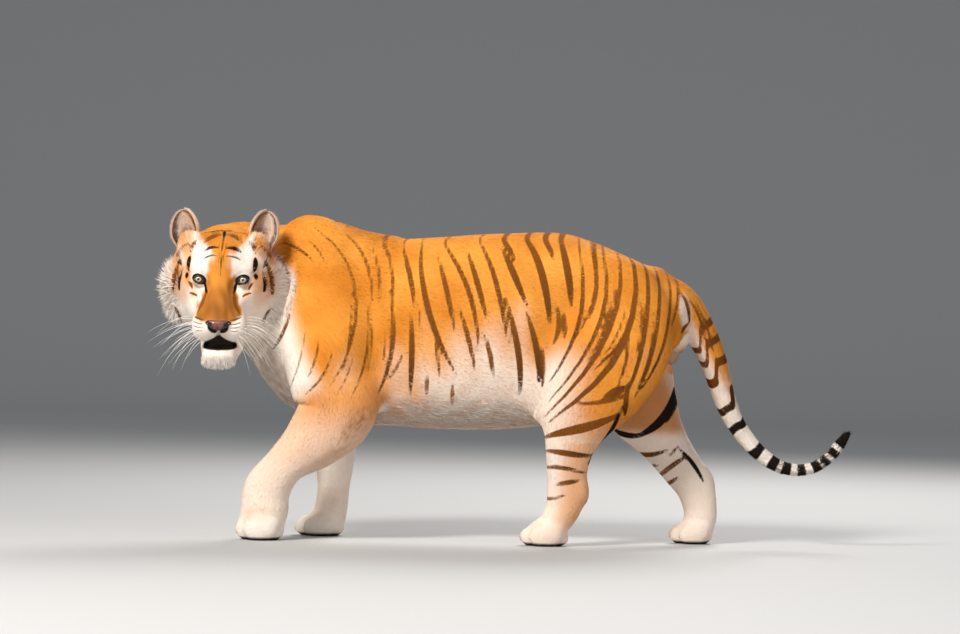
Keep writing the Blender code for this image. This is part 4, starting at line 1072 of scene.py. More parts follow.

# %% [markdown]
# Two more numbers finish a place. Black marks naked skin, such as the lips, the lids and the soles, and is
# painted shade inside the open mouth. Brown tints the underside, the elbow and the inner thigh, and is
# painted shade down the throat, deep in the mouth and on the lower part of the scrotum.

# %% Black and brown, and all five numbers together
def black_places(points):
    """1 on the lips, under the nose, round the eyes and on the soles, and painted shade in black over the
    inside of the mouth; and 1 deep in the mouth, where that painted shade is dark brown.
    """
    at = in_half_head(points)
    height = points[:, 2] - EYES_AT[2]
    lip = mouth_field(at)
    in_front = at[:, 0] > -0.05
    # Black lips, and painted shade: black over the inside of the open mouth, partly dark brown deep in it.
    deep = ramp(lip, 0.0040, 0.0010) * ramp(at[:, 1], 0.042, 0.022)
    black = ramp(lip, 0.007, 0.0040) * in_front * (1 - 0.35 * deep)
    nose_bed = egg_field(at, (0.126, 0.000, -0.078), (0.020, 0.032, 0.026))
    black = np.maximum(black, ramp(nose_bed, 0.0, -0.002) * ramp(height, -0.112, -0.118))
    across, up, ahead = eye_plane(at)
    rim = np.sqrt(((across + 0.0006) / 0.0218) ** 2 + ((up - 0.0010) / 0.0150) ** 2)
    black = np.maximum(black, ramp(rim, 1.04, 0.94) * (ahead > -0.01) * (ahead < 0.05))
    return np.maximum(black, ramp(points[:, 2], 0.012, 0.006)), deep * in_front


def brown_places(points, fields, face):
    """Brown tint on the inner thigh, the underside, and behind and below the left elbow, and painted shade in
    brown on the throat.
    """
    x, y, z = points.T
    thigh = 0.42 * right_hind(points, fields)[0] * inner_thigh(points)
    underside = ramp(z, 0.50, 0.40) * (fields[ON_TRUNK] < 0.02) * (fields[ON_LEGS].min(0) > 0.0)
    underside = underside * (0.16 + 0.10 * wander(points, 26, 14))
    # Painted shade: brown down the front of the throat and chest below the chin, broken by paler streaks.
    from_front = x - np.interp(z, [0.36, 0.45, 0.55, 0.62], [-0.535, -0.585, -0.640, -0.665])
    throat = ramp(from_front, 0.100, 0.030) * ramp(z, 0.64, 0.56) * ramp(z, 0.34, 0.40)
    throat = throat * (fields[[ON_FORE_LEFT, ON_FORE_RIGHT]].min(0) > 0.0)
    throat = throat * (1 - face) * (fields[[ON_TRUNK, ON_NECK]].min(0) < 0.02)
    pale = 0.5 + 0.5 * wander(points * (1.0, 1.0, 0.25), 110, 16)
    throat = throat * (0.44 - 0.26 * pale)
    elbow = np.exp(-(((x + 0.355 - 0.5 * (z - 0.345)) / 0.030) ** 2) - ((z - 0.345) / 0.055) ** 2)
    below = np.exp(-(((x + 0.420 - 1.3 * (z - 0.25)) / 0.034) ** 2) - ((z - 0.25) / 0.045) ** 2)
    speckle = 0.5 + 0.9 * wander(points, 150, 8) * wander(points, 210, 9)
    elbow = np.maximum(elbow, 0.55 * below) * (0.45 + 0.55 * (speckle > 0.60))
    elbow = elbow * ((fields[ON_FORE_LEFT] < 0.02) & (y < -0.12))
    return np.max([thigh, underside, throat, elbow], axis=0)


MARK_NAMES = ("gold", "mark", "dark", "brown", "black")


def coat_marks(points, fields):
    """Ground colour, stripe mark, darkness, brownness and blackness at each place."""
    x, _, z = points.T
    mark, dark = body_stripes(points, fields)
    gold = foreleg_gold(points, fields, trunk_gold(points))
    gold = hindleg_gold(points, fields, gold)
    gold, mark, dark = tail_marks(points, fields, gold, mark, dark)
    forward = in_head(points)[:, 0]
    face = ramp(nearer(fields, ON_HEAD), -0.035, 0.005) * ramp(forward, -0.20, -0.14)
    face_gold, face_mark, face_dark, snout = face_marks(points)
    gold = gold * (1 - face) + face_gold * face
    on_face = (face > 0.5) & (forward > -0.13)
    mark = np.where(on_face, face_mark, mark)
    dark = np.where(on_face, face_dark, dark)
    purse = (nearer(fields, ON_PURSE) > -0.006) & (x > 0.52)
    gold = np.where(purse, 0.10, gold)
    mark = np.where(purse, -MARK_REACH, mark)
    black, painted_mouth_shade = black_places(points)
    # The scrotum's brown: a light tint all over, and painted shade that darkens its lower part.
    purse_tint_and_shade = purse * (0.10 + 0.55 * ramp(z, 0.605, 0.560))
    brown = np.max([face * snout, painted_mouth_shade, purse_tint_and_shade, brown_places(points, fields, face)], axis=0)
    return dict(zip(MARK_NAMES, (gold, mark, dark, brown, black)))


print("marks are ready:", ", ".join(MARK_NAMES))

# %% [markdown]
# ## Materials of the coat
# Skin and tufts share one node group, which turns the numbers of a place into its colour. Fine noise makes
# the edge of a stripe ragged, as single hairs do, and broad noise varies the gold.

# %% Short ways to write nodes
def give(tree, node, inputs):
    """Fills a node's inputs by name or number: a socket is linked, and anything else is the value."""
    for key, value in inputs.items():
        if isinstance(value, bpy.types.NodeSocket):
            tree.links.new(value, node.inputs[key])
        else:
            node.inputs[key].default_value = value


def add_node(tree, kind, inputs, **settings):
    """Adds a shader node, applies its settings, fills its inputs and returns its outputs."""
    node = tree.nodes.new("ShaderNode" + kind)
    for key, value in settings.items():
        setattr(node, key, value)
    give(tree, node, inputs)
    return node.outputs


def read(tree, attribute):
    """The number that the mesh keeps under a name."""
    return add_node(tree, "Attribute", {}, attribute_name=attribute)["Fac"]


def noise(tree, scale, detail=2.0):
    """Noise over Object coordinates."""
    place = add_node(tree, "TexCoord", {})["Object"]
    return add_node(tree, "TexNoise", {"Vector": place, "Scale": scale, "Detail": detail})["Fac"]


def sums(tree, kind, *numbers):
    """One step of arithmetic, such as MULTIPLY_ADD: the first times the second, plus the third."""
    return add_node(tree, "Math", dict(enumerate(numbers)), operation=kind)["Value"]


def between(tree, value, low, high):
    """0 at low, 1 at high and straight between."""
    return add_node(tree, "MapRange", {"Value": value, "From Min": low, "From Max": high})["Result"]


def mix(tree, factor, first, second, blend="MIX"):
    """The first colour where the factor is 0 and the second blended in where it is 1."""
    given = {"Factor": factor, "A": first, "B": second}
    return add_node(tree, "Mix", given, data_type="RGBA", blend_type=blend)["Result"]


def bumped(tree, height, strength, distance):
    """The normal of a surface with fine relief."""
    return add_node(tree, "Bump", {"Height": height, "Strength": strength, "Distance": distance})["Normal"]


def new_material(name):
    """A material, its node tree and its Principled shader."""
    made = bpy.data.materials.new(name)
    made.use_nodes = True
    return made, made.node_tree, made.node_tree.nodes["Principled BSDF"]


print("helpers for nodes are ready")

# %% The coat's colour group
GOLD_DEEP, GOLD_PALE, CREAM = (0.62, 0.200, 0.020, 1), (0.82, 0.325, 0.050, 1), (0.88, 0.78, 0.68, 1)
STRIPE_BROWN, STRIPE_BLACK = (0.250, 0.078, 0.010, 1), (0.014, 0.008, 0.005, 1)
BROWN_AND_SHADE, NAKED_BLACK = (0.27, 0.095, 0.020, 1), (0.016, 0.009, 0.008, 1)


def coat_group():
    """Takes the five numbers of a place and a grain, and gives a colour and a roughness."""
    group = bpy.data.node_groups.new("coat_colours", "ShaderNodeTree")
    for name in (*MARK_NAMES, "grain"):
        group.interface.new_socket(name.title(), in_out="INPUT", socket_type="NodeSocketFloat")
    group.interface.new_socket("Colour", in_out="OUTPUT", socket_type="NodeSocketColor")
    group.interface.new_socket("Roughness", in_out="OUTPUT", socket_type="NodeSocketFloat")
    given = group.nodes.new("NodeGroupInput").outputs
    gold = mix(group, between(group, noise(group, 7.0, 3.0), 0.30, 0.70), GOLD_DEEP, GOLD_PALE)
    ground = mix(group, sums(group, "POWER", given["Gold"], 0.78), CREAM, gold)
    # Brown tints the snout, underside, elbow and inner thigh, and is painted shade on the throat, in the
    # mouth, on the scrotum's lower part and in the ears' hollows.
    ground = mix(group, given["Brown"], ground, BROWN_AND_SHADE)
    stripe = mix(group, given["Dark"], STRIPE_BROWN, STRIPE_BLACK)
    fine = sums(group, "SUBTRACT", noise(group, 260.0), 0.5)
    ragged = sums(group, "MULTIPLY_ADD", fine, 0.0025, given["Mark"])
    coat = mix(group, between(group, ragged, -0.0012, 0.0018), ground, stripe)
    coat = mix(group, given["Black"], coat, NAKED_BLACK)
    grain = sums(group, "MULTIPLY_ADD", given["Grain"], 0.26, 0.87)
    tinted = mix(group, 1.0, coat, grain, "MULTIPLY")
    rough = sums(group, "MULTIPLY_ADD", given["Black"], -0.35, 0.80)
    give(group, group.nodes.new("NodeGroupOutput"), {"Colour": tinted, "Roughness": rough})
    return group


COAT_GROUP = coat_group()


def coat_material(name, is_skin):
    """Reads the marks from the mesh. A tuft has its own grain; the skin's is noise, which also bumps it."""
    made, tree, shader = new_material(name)
    marks = {key.title(): read(tree, key) for key in MARK_NAMES}
    grain = noise(tree, 420) if is_skin else read(tree, "grain")
    coat = add_node(tree, "Group", {**marks, "Grain": grain}, node_tree=COAT_GROUP)
    finish = {"Base Color": coat["Colour"], "Roughness": coat["Roughness"], "Specular IOR Level": 0.06}
    if is_skin:
        finish["Normal"] = bumped(tree, grain, 0.22, 0.002)
    give(tree, shader, finish)
    return made


SKIN_COAT, TUFT_COAT = coat_material("skin_coat", True), coat_material("tuft_coat", False)
print("coat materials:", SKIN_COAT.name, TUFT_COAT.name)

# %% Finishing the skin
FLESH = [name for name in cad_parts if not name.startswith(("eye_", "ear_", "nose"))]


def write_numbers(mesh, name, values):
    """Keeps one number for each point of a mesh under a name, for its material to read."""
    layer = mesh.attributes.new(name, "FLOAT", "POINT")
    layer.data.foreach_set("value", np.ascontiguousarray(values, dtype=np.float32))


def add_piece(name, mesh, material, slot, *replaced):
    """Links a mesh as a piece of the tiger: moved from the plan to the frame, riding on its one body."""
    mesh.transform(Matrix.Translation(Vector(STEP)))
    mesh.materials.append(material)
    piece = bpy.data.objects.new(name, mesh)
    bpy.context.scene.collection.objects.link(piece)
    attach(piece, "root")
    if replaced:
        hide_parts(*replaced)


skin_at = mesh_points(skin_mesh)
skin_marks = coat_marks(skin_at, part_fields(skin_at))
for name in MARK_NAMES:
    write_numbers(skin_mesh, name, skin_marks[name])
skin_mesh.shade_smooth()
skin_copy = skin_mesh.copy()        # the tufts root on this one, still in the plan
add_piece("skin", skin_mesh, SKIN_COAT, "gold_coat", *FLESH)
print("skin replaces", len(FLESH), "nodes")

# %% [markdown]
# ## The coat as mesh
# Particle hair wouldn't outlive an export, so the coat is real mesh: well over a hundred thousand closed
# three-sided spikes. A short one is a base ring and a tip, four triangles in all. A long one has a second
# ring at its middle, so that it can bend, and ten. Roots are scattered over the skin by area times the
# density wanted there.

# %% Where tufts root, and how they grow there
rng = np.random.default_rng(11)


def skin_triangles(mesh):
    """Corner positions and corner normals of the mesh's triangles."""
    mesh.calc_loop_triangles()
    corners = np.empty(len(mesh.loop_triangles) * 3, int)
    mesh.loop_triangles.foreach_get("vertices", corners)
    normals = np.empty(len(mesh.vertices) * 3)
    mesh.vertices.foreach_get("normal", normals)
    corners = corners.reshape(-1, 3)
    return mesh_points(mesh)[corners], normals.reshape(-1, 3)[corners]


def growth(points, fields):
    """Density per square metre, length in metres and lift (slope off the skin) of the hair at places."""
    forward, side, up = in_half_head(points).T
    z = points[:, 2]
    height = z - EYES_AT[2]
    head = ramp(nearer(fields, ON_HEAD), -0.03, 0.01)
    face = head * ramp(forward, -0.090, -0.020)
    snout = head * ramp(forward, 0.000, 0.055)
    ruff = head * ramp(side + 0.35 * np.abs(up + 0.10), 0.100, 0.165) * ramp(up, 0.05, -0.03)
    ruff = ruff * ramp(forward, -0.02, -0.07)
    jaw = head * ramp(height, -0.202, -0.226) * ramp(forward, 0.03, 0.09)
    low = ramp(z, 0.36, 0.12) * (fields[ON_TRUNK] > 0.02)
    paw = ramp(z, 0.12, 0.05)
    belly = ramp(z, 0.44, 0.36) * (fields[ON_TRUNK] < 0.01) * (fields[ON_LEGS].min(0) > 0.01)
    neck = ramp(nearer(fields, ON_NECK), -0.03, 0.01) * (1 - head)
    tail = ramp(nearer(fields, ON_TAIL), 0.0, 0.02)
    density = 74000 + 44000 * head + 230000 * face + 20000 * low + 50000 * paw + 30000 * tail - 42000 * ruff
    length = 0.0135 + 0.013 * belly + 0.006 * neck - 0.002 * low - 0.003 * paw + 0.005 * tail
    length = length * (1 - head) + head * (0.014 + 0.038 * ruff - 0.0060 * face - 0.0028 * snout)
    ear_foot = head * np.exp(-(((side - 0.100) / 0.040) ** 2) - ((height - 0.110) / 0.035) ** 2)
    length = np.maximum(length + 0.014 * jaw + 0.014 * ear_foot, 0.0050)
    lift = 0.10 - 0.03 * face + 0.12 * belly + 0.05 * neck + 0.26 * ruff
    lift = lift + 0.30 * jaw + 0.04 * tail + 0.25 * ear_foot
    return np.where((z < 0.014) | bald(points), 0, density), length, lift


def bald(points):
    """Whether no hair grows there: the lips and mouth, the rims of the eyes and the bed of the nose."""
    at = in_half_head(points)
    mouth = (mouth_field(at) < 0.0045) & (at[:, 0] > -0.05)
    across, up, ahead = eye_plane(at)
    eye = (np.hypot(across / 0.0205, up / 0.0140) < 1) & (ahead > -0.01) & (ahead < 0.05)
    nose = egg_field(at, (0.126, 0.000, -0.078), (0.026, 0.040, 0.028)) < 0
    return mouth | eye | nose


def scatter(mesh):
    """Random roots on the triangles, as many in each as its area times the density there."""
    corners, normals = skin_triangles(mesh)
    first, second, third = corners.transpose(1, 0, 2)
    area = np.linalg.norm(np.cross(second - first, third - first), axis=1) / 2
    centres = corners.mean(1)
    wanted = area * growth(centres, part_fields(centres))[0]
    count = np.floor(wanted + rng.random(len(wanted))).astype(int)
    owner = np.repeat(np.arange(len(count)), count)
    share = rng.random((len(owner), 2))
    over = share.sum(1) > 1
    share[over] = 1 - share[over]
    weights = np.concatenate([1 - share.sum(1, keepdims=True), share], 1)[..., None]
    return (corners[owner] * weights).sum(1), unit((normals[owner] * weights).sum(1))


roots, root_normals = scatter(skin_copy)
root_fields = part_fields(roots)
print("tufts:", len(roots), "and by part:", np.bincount(root_fields.argmin(0), minlength=len(PARTS)))

# %% From roots to spikes
PATCH = 0.003           # size of a tuft's patch on its unwrap
LONG_HAIR = 0.021       # a longer tuft gets a middle ring
RIDGE = 0.35            # how high a tuft's ridge stands, as a share of its half width
SHORT_FACES = np.array([(0, 2, 1), (0, 1, 3), (1, 2, 3), (2, 0, 3)])
LONG_FACES = np.array([
    (0, 2, 1), (0, 1, 4), (0, 4, 3), (1, 2, 5), (1, 5, 4),
    (2, 0, 3), (2, 3, 5), (3, 4, 6), (4, 5, 6), (5, 3, 6),
])
SHORT_UV = PATCH * np.array([(0, 0), (0.5, 0.15), (1, 0), (0.5, 1)])
LONG_UV = PATCH * np.array([(0, 0), (0.5, 0.1), (1, 0), (0.15, 0.55), (0.5, 0.6), (0.85, 0.55), (0.5, 1)])


def spikes(at, normals, lies, length, width, lift, shares):
    """Points of every spike: a three-sided ring at each share of its length, then the tip.

    A place along it at share t is root + t * length * lie + lift * length * t * (1.5 - 0.75 t) * normal.
    """
    across = np.cross(lies, normals)
    points = []
    for t, broad in shares:
        rise = lift * length * t * (1.5 - 0.75 * t) - 0.0008
        core = at + lies * (t * length)[:, None] + normals * rise[:, None]
        half = (0.5 * width * broad)[:, None]
        points += [core - across * half, core + normals * half * RIDGE, core + across * half]
    points.append(at + lies * length[:, None] + normals * (lift * length * 0.75)[:, None])
    return np.stack(points, 1)


def unwrap(points, fields, name):
    """A place on a part's own unwrap: how far along its path and round it, or round the face's middle."""
    if name == "head":
        at = in_head(points) + (0.06, 0, 0.05)
        turn = np.arctan2(at[:, 2], at[:, 1])
        open_angle = np.arctan2(np.hypot(at[:, 1], at[:, 2]), at[:, 0]) / math.pi
        return np.stack([open_angle * np.cos(turn), open_angle * np.sin(turn)], 1)
    place, _, across, over, _ = tube_place(points, TUBES[name])
    return np.stack([place, np.arctan2(across, over)], 1)


def add_hair(name, at, fields, normals, lies, length, width, lift, flat, marks_at=coat_marks):
    """One piece of coat: short spikes of four triangles and long ones of ten, with marks and an unwrap.

    The marks are read at each ring and at the tip of a spike, so that stripes stay sharp. A spike takes
    the normal of its root, swung a little, so that the coat shades as one soft surface.
    """
    points_of, faces_of, uv_of, marks_of, soft_of = [], [], [], [], []
    first = 0
    for is_long in (False, True):
        some = np.nonzero((length > LONG_HAIR) == is_long)[0]
        if not len(some):
            continue
        shares = ((0.0, 0.8), (0.5, 1.0)) if is_long else ((0.0, 1.0),)
        spike_faces, spike_uv = (LONG_FACES, LONG_UV) if is_long else (SHORT_FACES, SHORT_UV)
        given = (values[some] for values in (at, normals, lies, length, width, lift))
        points = spikes(*given, shares)
        points[..., 2] = np.maximum(points[..., 2], 0.0004)
        corners = points.shape[1]
        starts = first + corners * np.arange(len(some))
        faces_of.append((starts[:, None, None] + spike_faces).reshape(-1, 3))
        first += corners * len(some)
        uv_of.append((flat[some, None, None] + spike_uv[spike_faces][None]).reshape(-1, 2))
        rings = [points[:, 3 * i : 3 * i + 3].mean(1) for i in range(len(shares))] + [points[:, -1]]
        each = (3,) * len(shares) + (1,)
        found = [marks_at(ring, fields[:, some]) for ring in rings]
        found = {key: np.stack([ring[key] for ring in found], 1) for key in MARK_NAMES}
        found["grain"] = np.repeat(rng.random((len(some), 1)), len(rings), 1)
        marks_of.append({key: np.repeat(values, each, axis=1).ravel() for key, values in found.items()})
        points_of.append(points.reshape(-1, 3))
        soft = unit(normals[some] + 0.24 * rng.normal(size=(len(some), 3)))
        soft_of.append(np.repeat(soft, corners, axis=0))
    mesh = new_mesh(name, np.concatenate(points_of), np.concatenate(faces_of).tolist())
    for key in marks_of[0]:
        write_numbers(mesh, key, np.concatenate([marks[key] for marks in marks_of]))
    mesh.uv_layers.new(name="OFBake").data.foreach_set("uv", np.concatenate(uv_of).ravel())
    mesh.normals_split_custom_set_from_vertices(np.concatenate(soft_of).astype(np.float32))
    add_piece(name, mesh, TUFT_COAT, "gold_coat")
    return len(mesh.polygons)


def add_coat(name, chosen, part):
    """The coat of one region, grown from its chosen roots."""
    at, normals, fields = roots[chosen], root_normals[chosen], root_fields[:, chosen]
    count = len(at)
    _, length, lift = growth(at, fields)
    lies = coat_lie(at, fields, normals)
    swing = np.radians(11) * rng.normal(size=count)
    lies = lies * np.cos(swing)[:, None] + np.cross(normals, lies) * np.sin(swing)[:, None]
    length = length * rng.uniform(0.75, 1.25, count)
    lift = lift * rng.uniform(0.5, 1.4, count)
    width = np.clip(0.11 * length, 0.0010, 0.0017) * rng.uniform(0.8, 1.2, count)
    flat = unwrap(at, fields, part)
    flat = (flat - flat.min(0)) / np.ptp(flat, axis=0) * (1 - 2 * PATCH)
    return add_hair(name, at, fields, normals, lies, length, width, lift, flat)


def regions():
    """Each coat piece's name, the part whose unwrap it uses, and which roots are its own."""
    part = root_fields.argmin(0)
    on_face = in_head(roots)[:, 0] > -0.035
    head_left, body_left, fore = roots[:, 0] > EYES_AT[0], roots[:, 1] < 0, roots[:, 0] < -0.05
    for name, there in (("face", on_face), ("ruff", ~on_face)):
        for side, on_side in (("left", head_left), ("right", ~head_left)):
            yield f"coat_{name}_{side}", "head", (part == ON_HEAD) & there & on_side
    for name, unwrapped_as in (("neck", "neck"), ("tail", "tail"), ("scrotum", "trunk")):
        yield f"coat_{name}", unwrapped_as, part == PARTS.index(name)
    for side, on_side in (("left", body_left), ("right", ~body_left)):
        for end, there in (("fore", fore), ("rear", ~fore)):
            yield f"coat_trunk_{end}_{side}", "trunk", (part == ON_TRUNK) & there & on_side
    for name in PAWS:
        yield f"coat_{name}", name, part == PARTS.index(name)


total = 0
for name, part, chosen in regions():
    made = add_coat(name, np.nonzero(chosen)[0], part)
    total += made
    print(name, int(chosen.sum()), "tufts,", made, "triangles")
print("triangles of coat:", total)

# %% [markdown]
# ## The eyes
# An eyeball is a sphere with a clear bulge over the iris. Both are one closed surface here, turned round the
# line of sight, and each point keeps its distance from that line, from which the material draws the pupil,
# the iris with its dark outer ring, and the white.

# %% Eyeballs
BULGE = 0.0016                  # how far the clear front stands over the ball
SIGHT = math.radians(4)         # each eye looks this far outwards of straight ahead


def tube_mesh(rows, name):
    """Mesh of one or more closed tubes: rings of points in rows, with one face over either end."""
    tubes = np.array(rows).reshape(-1, *np.shape(rows)[-3:])
    index = np.arange(tubes.size // 3).reshape(tubes.shape[:3])
    after = np.roll(index, -1, 2)
    sides = np.stack([index[:, :-1], after[:, :-1], after[:, 1:], index[:, 1:]], -1).reshape(-1, 4)
    ends = index[:, 0, ::-1].tolist() + index[:, -1].tolist()
    return new_mesh(name, tubes, sides.tolist() + ends)


def eye_frame(side):
    """Middle of an eyeball and its axes: out along the line of sight, across, and up."""
    middle = head_point(-EYE_SET_BACK, side * EYE_SPREAD, 0)
    out = np.array([side * math.sin(SIGHT), -math.cos(SIGHT), 0.0])
    across = np.array([math.cos(SIGHT), side * math.sin(SIGHT), 0.0])
    return middle, out, across, np.array([0.0, 0.0, 1.0])


# Colours from the line of sight outwards: pupil, iris, its dark ring, and the white behind the lids.
EYE_STOPS = [
    (0.00, (0.004, 0.004, 0.004, 1)), (0.155, (0.004, 0.004, 0.004, 1)), (0.185, (0.16, 0.12, 0.06, 1)),
    (0.30, (0.50, 0.37, 0.22, 1)), (0.46, (0.54, 0.41, 0.26, 1)), (0.53, (0.22, 0.17, 0.10, 1)),
    (0.575, (0.02, 0.014, 0.010, 1)), (0.74, (0.02, 0.014, 0.010, 1)), (0.84, (0.05, 0.03, 0.02, 1)),
    (1.0, (0.10, 0.06, 0.045, 1)),
]


def eye_material():
    """Pupil, streaked pale iris, dark ring and a brown white, by distance from the line of sight."""
    made, tree, shader = new_material("eye_wet")
    spin = add_node(tree, "Attribute", {}, attribute_name="round_sight")["Vector"]
    streaks = add_node(tree, "TexNoise", {"Vector": spin, "Scale": 3.0, "Detail": 4.0})["Fac"]
    off = sums(tree, "MULTIPLY_ADD", streaks, 0.0009, read(tree, "off_sight"))
    colours = tree.nodes.new("ShaderNodeValToRGB")
    stops = colours.color_ramp.elements
    for place, _ in EYE_STOPS[2:]:
        stops.new(place)
    for stop, (place, colour) in zip(stops, EYE_STOPS):
        stop.position = place
        stop.color = colour
    give(tree, colours, {"Fac": between(tree, off, 0.0004, 0.0164)})
    finish = {"Base Color": colours.outputs["Color"], "Roughness": 0.12}
    give(tree, shader, {**finish, "Coat Weight": 1.0, "Coat Roughness": 0.03})
    return made


EYE_WET = eye_material()
for side, word in ((1, "left"), (-1, "right")):
    middle, out, across, up = eye_frame(side)
    polar = np.linspace(0.002, math.pi - 0.002, 49)[:, None, None]
    turn = np.linspace(0, 2 * math.pi, 48, endpoint=False)[None, :, None]
    swell = BULGE * np.clip(1 - (polar / math.radians(38)) ** 2, 0, None) ** 1.5
    ray = np.cos(polar) * out + np.sin(polar) * (np.cos(turn) * across + np.sin(turn) * up)
    rows = middle + (EYE_RADIUS + swell) * ray
    mesh = tube_mesh(rows[::-1], f"eyeball_{word}")
    off = EYE_RADIUS * np.sin(polar) + 0.02 * (polar > math.pi / 2)     # the ball's back counts as far off
    off = np.broadcast_to(np.minimum(off, 0.0171)[..., 0], rows.shape[:2])
    write_numbers(mesh, "off_sight", off[::-1].ravel())
    layer = mesh.attributes.new("round_sight", "FLOAT_VECTOR", "POINT")
    spin = 3.0 * np.concatenate([np.cos(turn), np.sin(turn), 0 * turn], -1)
    layer.data.foreach_set("vector", np.broadcast_to(spin, rows.shape).ravel().astype(np.float32))
    add_piece(f"eyeball_{word}", mesh, EYE_WET, "eye", f"eye_{word}")
print("eyeballs: radius", EYE_RADIUS)

# %% [markdown]
# The lids' edges are naked, black and wet. Each is a tube along the almond opening, laid on the lid just
# over the ball, thickest at the inner corner.

# %% Rims of the lids
def wet_skin(name, colour, roughness, dark_at=None):
    """Moist naked skin: pores in the bump, blotches in the tone, and black where an attribute says so."""
    made, tree, shader = new_material(name)
    tone = mix(tree, noise(tree, 60), colour, tuple(0.45 * c for c in colour[:3]) + (1,))
    if dark_at:
        tone = mix(tree, read(tree, dark_at), tone, (0.012, 0.008, 0.008, 1))
    place = add_node(tree, "TexCoord", {})["Object"]
    pores = add_node(tree, "TexVoronoi", {"Vector": place, "Scale": 520})["Distance"]
    finish = {"Base Color": tone, "Normal": bumped(tree, pores, 0.25, 0.001)}
    give(tree, shader, {**finish, "Roughness": roughness, "Coat Weight": 0.3})
    return made


RIM_BLACK = wet_skin("rim_black", (0.010, 0.008, 0.007, 1), 0.40)


def face_outwards(mesh):
    """Turns the faces of closed shells outwards."""
    work = bmesh.new()
    work.from_mesh(mesh)
    bmesh.ops.recalc_face_normals(work, faces=work.faces)
    work.to_mesh(mesh)
    work.free()


def rings_round(path, radii, first, second, around):
    """Circles about the points of a path, in the plane of two directions at each point."""
    turn = np.linspace(0, 2 * math.pi, around, endpoint=False)[None, :, None]
    circle = np.cos(turn) * first[:, None] + np.sin(turn) * second[:, None]
    return path[:, None] + radii[:, None, None] * circle


def almond_path(side, count=64):
    """The opening's edge, laid on a ball just over the eye: an ellipse with its corners drawn out."""
    middle = eye_frame(side)[0]
    turn = np.linspace(0, 2 * math.pi, count, endpoint=False)
    wide = LID_OPEN[0] * np.cos(turn)
    tall = LID_OPEN[1] * np.sin(turn) * (1 - 0.25 * np.abs(np.cos(turn)))
    c, s = math.cos(LID_TILT), math.sin(LID_TILT)
    aside, over = c * wide - s * tall, s * wide + c * tall
    depth = np.sqrt((EYE_RADIUS + 0.0016) ** 2 - aside**2 - over**2)
    return middle + np.stack([side * aside, -depth, over], 1), middle, turn


for side, word in ((1, "left"), (-1, "right")):
    path, middle, turn = almond_path(side)
    thick = 0.0015 + 0.0016 * np.clip(-np.cos(turn), 0, 1) ** 3 + 0.0006 * np.clip(np.sin(turn), 0, 1)
    along = unit(np.roll(path, -1, 0) - np.roll(path, 1, 0))
    away = unit(path - middle)
    rows = rings_round(path, thick, away, np.cross(along, away), 8)
    index = np.arange(len(path) * 8).reshape(len(path), 8)
    right, below = np.roll(index, -1, 1), np.roll(index, -1, 0)
    faces = np.stack([index, right, np.roll(right, -1, 0), below], -1).reshape(-1, 4)
    mesh = new_mesh(f"lid_rim_{word}", rows, faces.tolist())
    face_outwards(mesh)
    add_piece(f"lid_rim_{word}", mesh, RIM_BLACK, "eye")
print("lid rims: opening", LID_OPEN)

# %% [markdown]
# ## The nose leather
# A cat's nose pad is a broad bar over a narrow wedge, with a comma-shaped nostril on either side. It is
# another small field, cut by its nostrils and meshed finely. Its rim and nostrils are black.

# %% Nose leather
NOSE_EGG = ((0.1110, 0.000, -0.0800), (0.0290, 0.0395, 0.0170), -30, 2.5)
NOSTRILS = [
    ((0.1350, 0.0250, -0.0680), (0.0085, 0.0070, 0.0050)),
    ((0.1280, 0.0330, -0.0700), (0.0085, 0.0080, 0.0030)),
]


def nose_field(points):
    """The pad: an egg above two planes that meet in a wedge below, less its nostrils and its cleft."""
    at = in_half_head(points)
    below_wedge = 0.572 * at[:, 1] - 0.820 * over_eyes(at) - 0.1223
    field = meet(egg_field(at, *NOSE_EGG), below_wedge, 0.006)
    for centre, radii in NOSTRILS:
        field = carve(field, egg_field(at, centre, radii), 0.003)
    return carve(field, egg_field(at, (0.142, 0.0, -0.088), (0.012, 0.0014, 0.018)), 0.003)


nose_middle, nose_reach = head_point(0.112, 0, -0.074), np.array((0.046, 0.040, 0.040))
nose_points, nose_quads = net_of(nose_field, nose_middle - nose_reach, nose_middle + nose_reach, 0.0017)
nose_points = settle(relax(nose_points, nose_quads, 2), nose_field, 3, 0.002)
nose_mesh = new_mesh("nose_leather", nose_points, nose_quads.tolist())
at = in_half_head(nose_points)
hollow = np.min([egg_field(at, centre, radii) for centre, radii in NOSTRILS], axis=0)
height = nose_points[:, 2] - EYES_AT[2]
wedge = np.interp(height, [-0.146, -0.135, -0.122, -0.112], [0.003, 0.010, 0.021, 0.027])
edge = ramp(at[:, 1] - wedge, -0.001, 0.004)
write_numbers(nose_mesh, "dark_rim", np.maximum(ramp(hollow, 0.0030, 0.0010), edge))
NOSE_SKIN = wet_skin("nose_skin", (0.22, 0.070, 0.048, 1), 0.45, "dark_rim")
add_piece("nose_leather", nose_mesh, NOSE_SKIN, "nose_leather", "nose")
print("nose leather:", len(nose_points), "vertices")

# %% [markdown]
# ## The ears
# Each ear is a deep round cup. Its rows run round the cup's outside from edge to edge and back round its
# inside, so the sheet has a real thickness and a rolled rim. The hollow faces forwards and outwards.

# %% Ear cups
EAR_FOOT, EAR_TALL, EAR_WIDE, EAR_WALL = (-0.1126, 0.0940, 0.0250), 0.135, 0.094, 0.0045
EAR_SPLAY, EAR_BACK, EAR_TURN = 16, 6, 14


def turned(vector, axis, degrees):
    """The vector after a turn about an axis."""
    return np.array(Matrix.Rotation(math.radians(degrees), 3, Vector(axis)) @ Vector(vector))


def ear_axes(side):
    """Up, out and forward of an ear, after its splay to the side, lean back and turn outwards."""
    axes = (0.0, 0.0, 1.0), (float(side), 0.0, 0.0), (0.0, -1.0, 0.0)
    turns = ((0, 0, 1), side * EAR_TURN), ((1, 0, 0), -EAR_BACK), ((0, 1, 0), side * EAR_SPLAY)
    for about, degrees in turns:
        axes = [turned(axis, about, degrees) for axis in axes]
    return axes


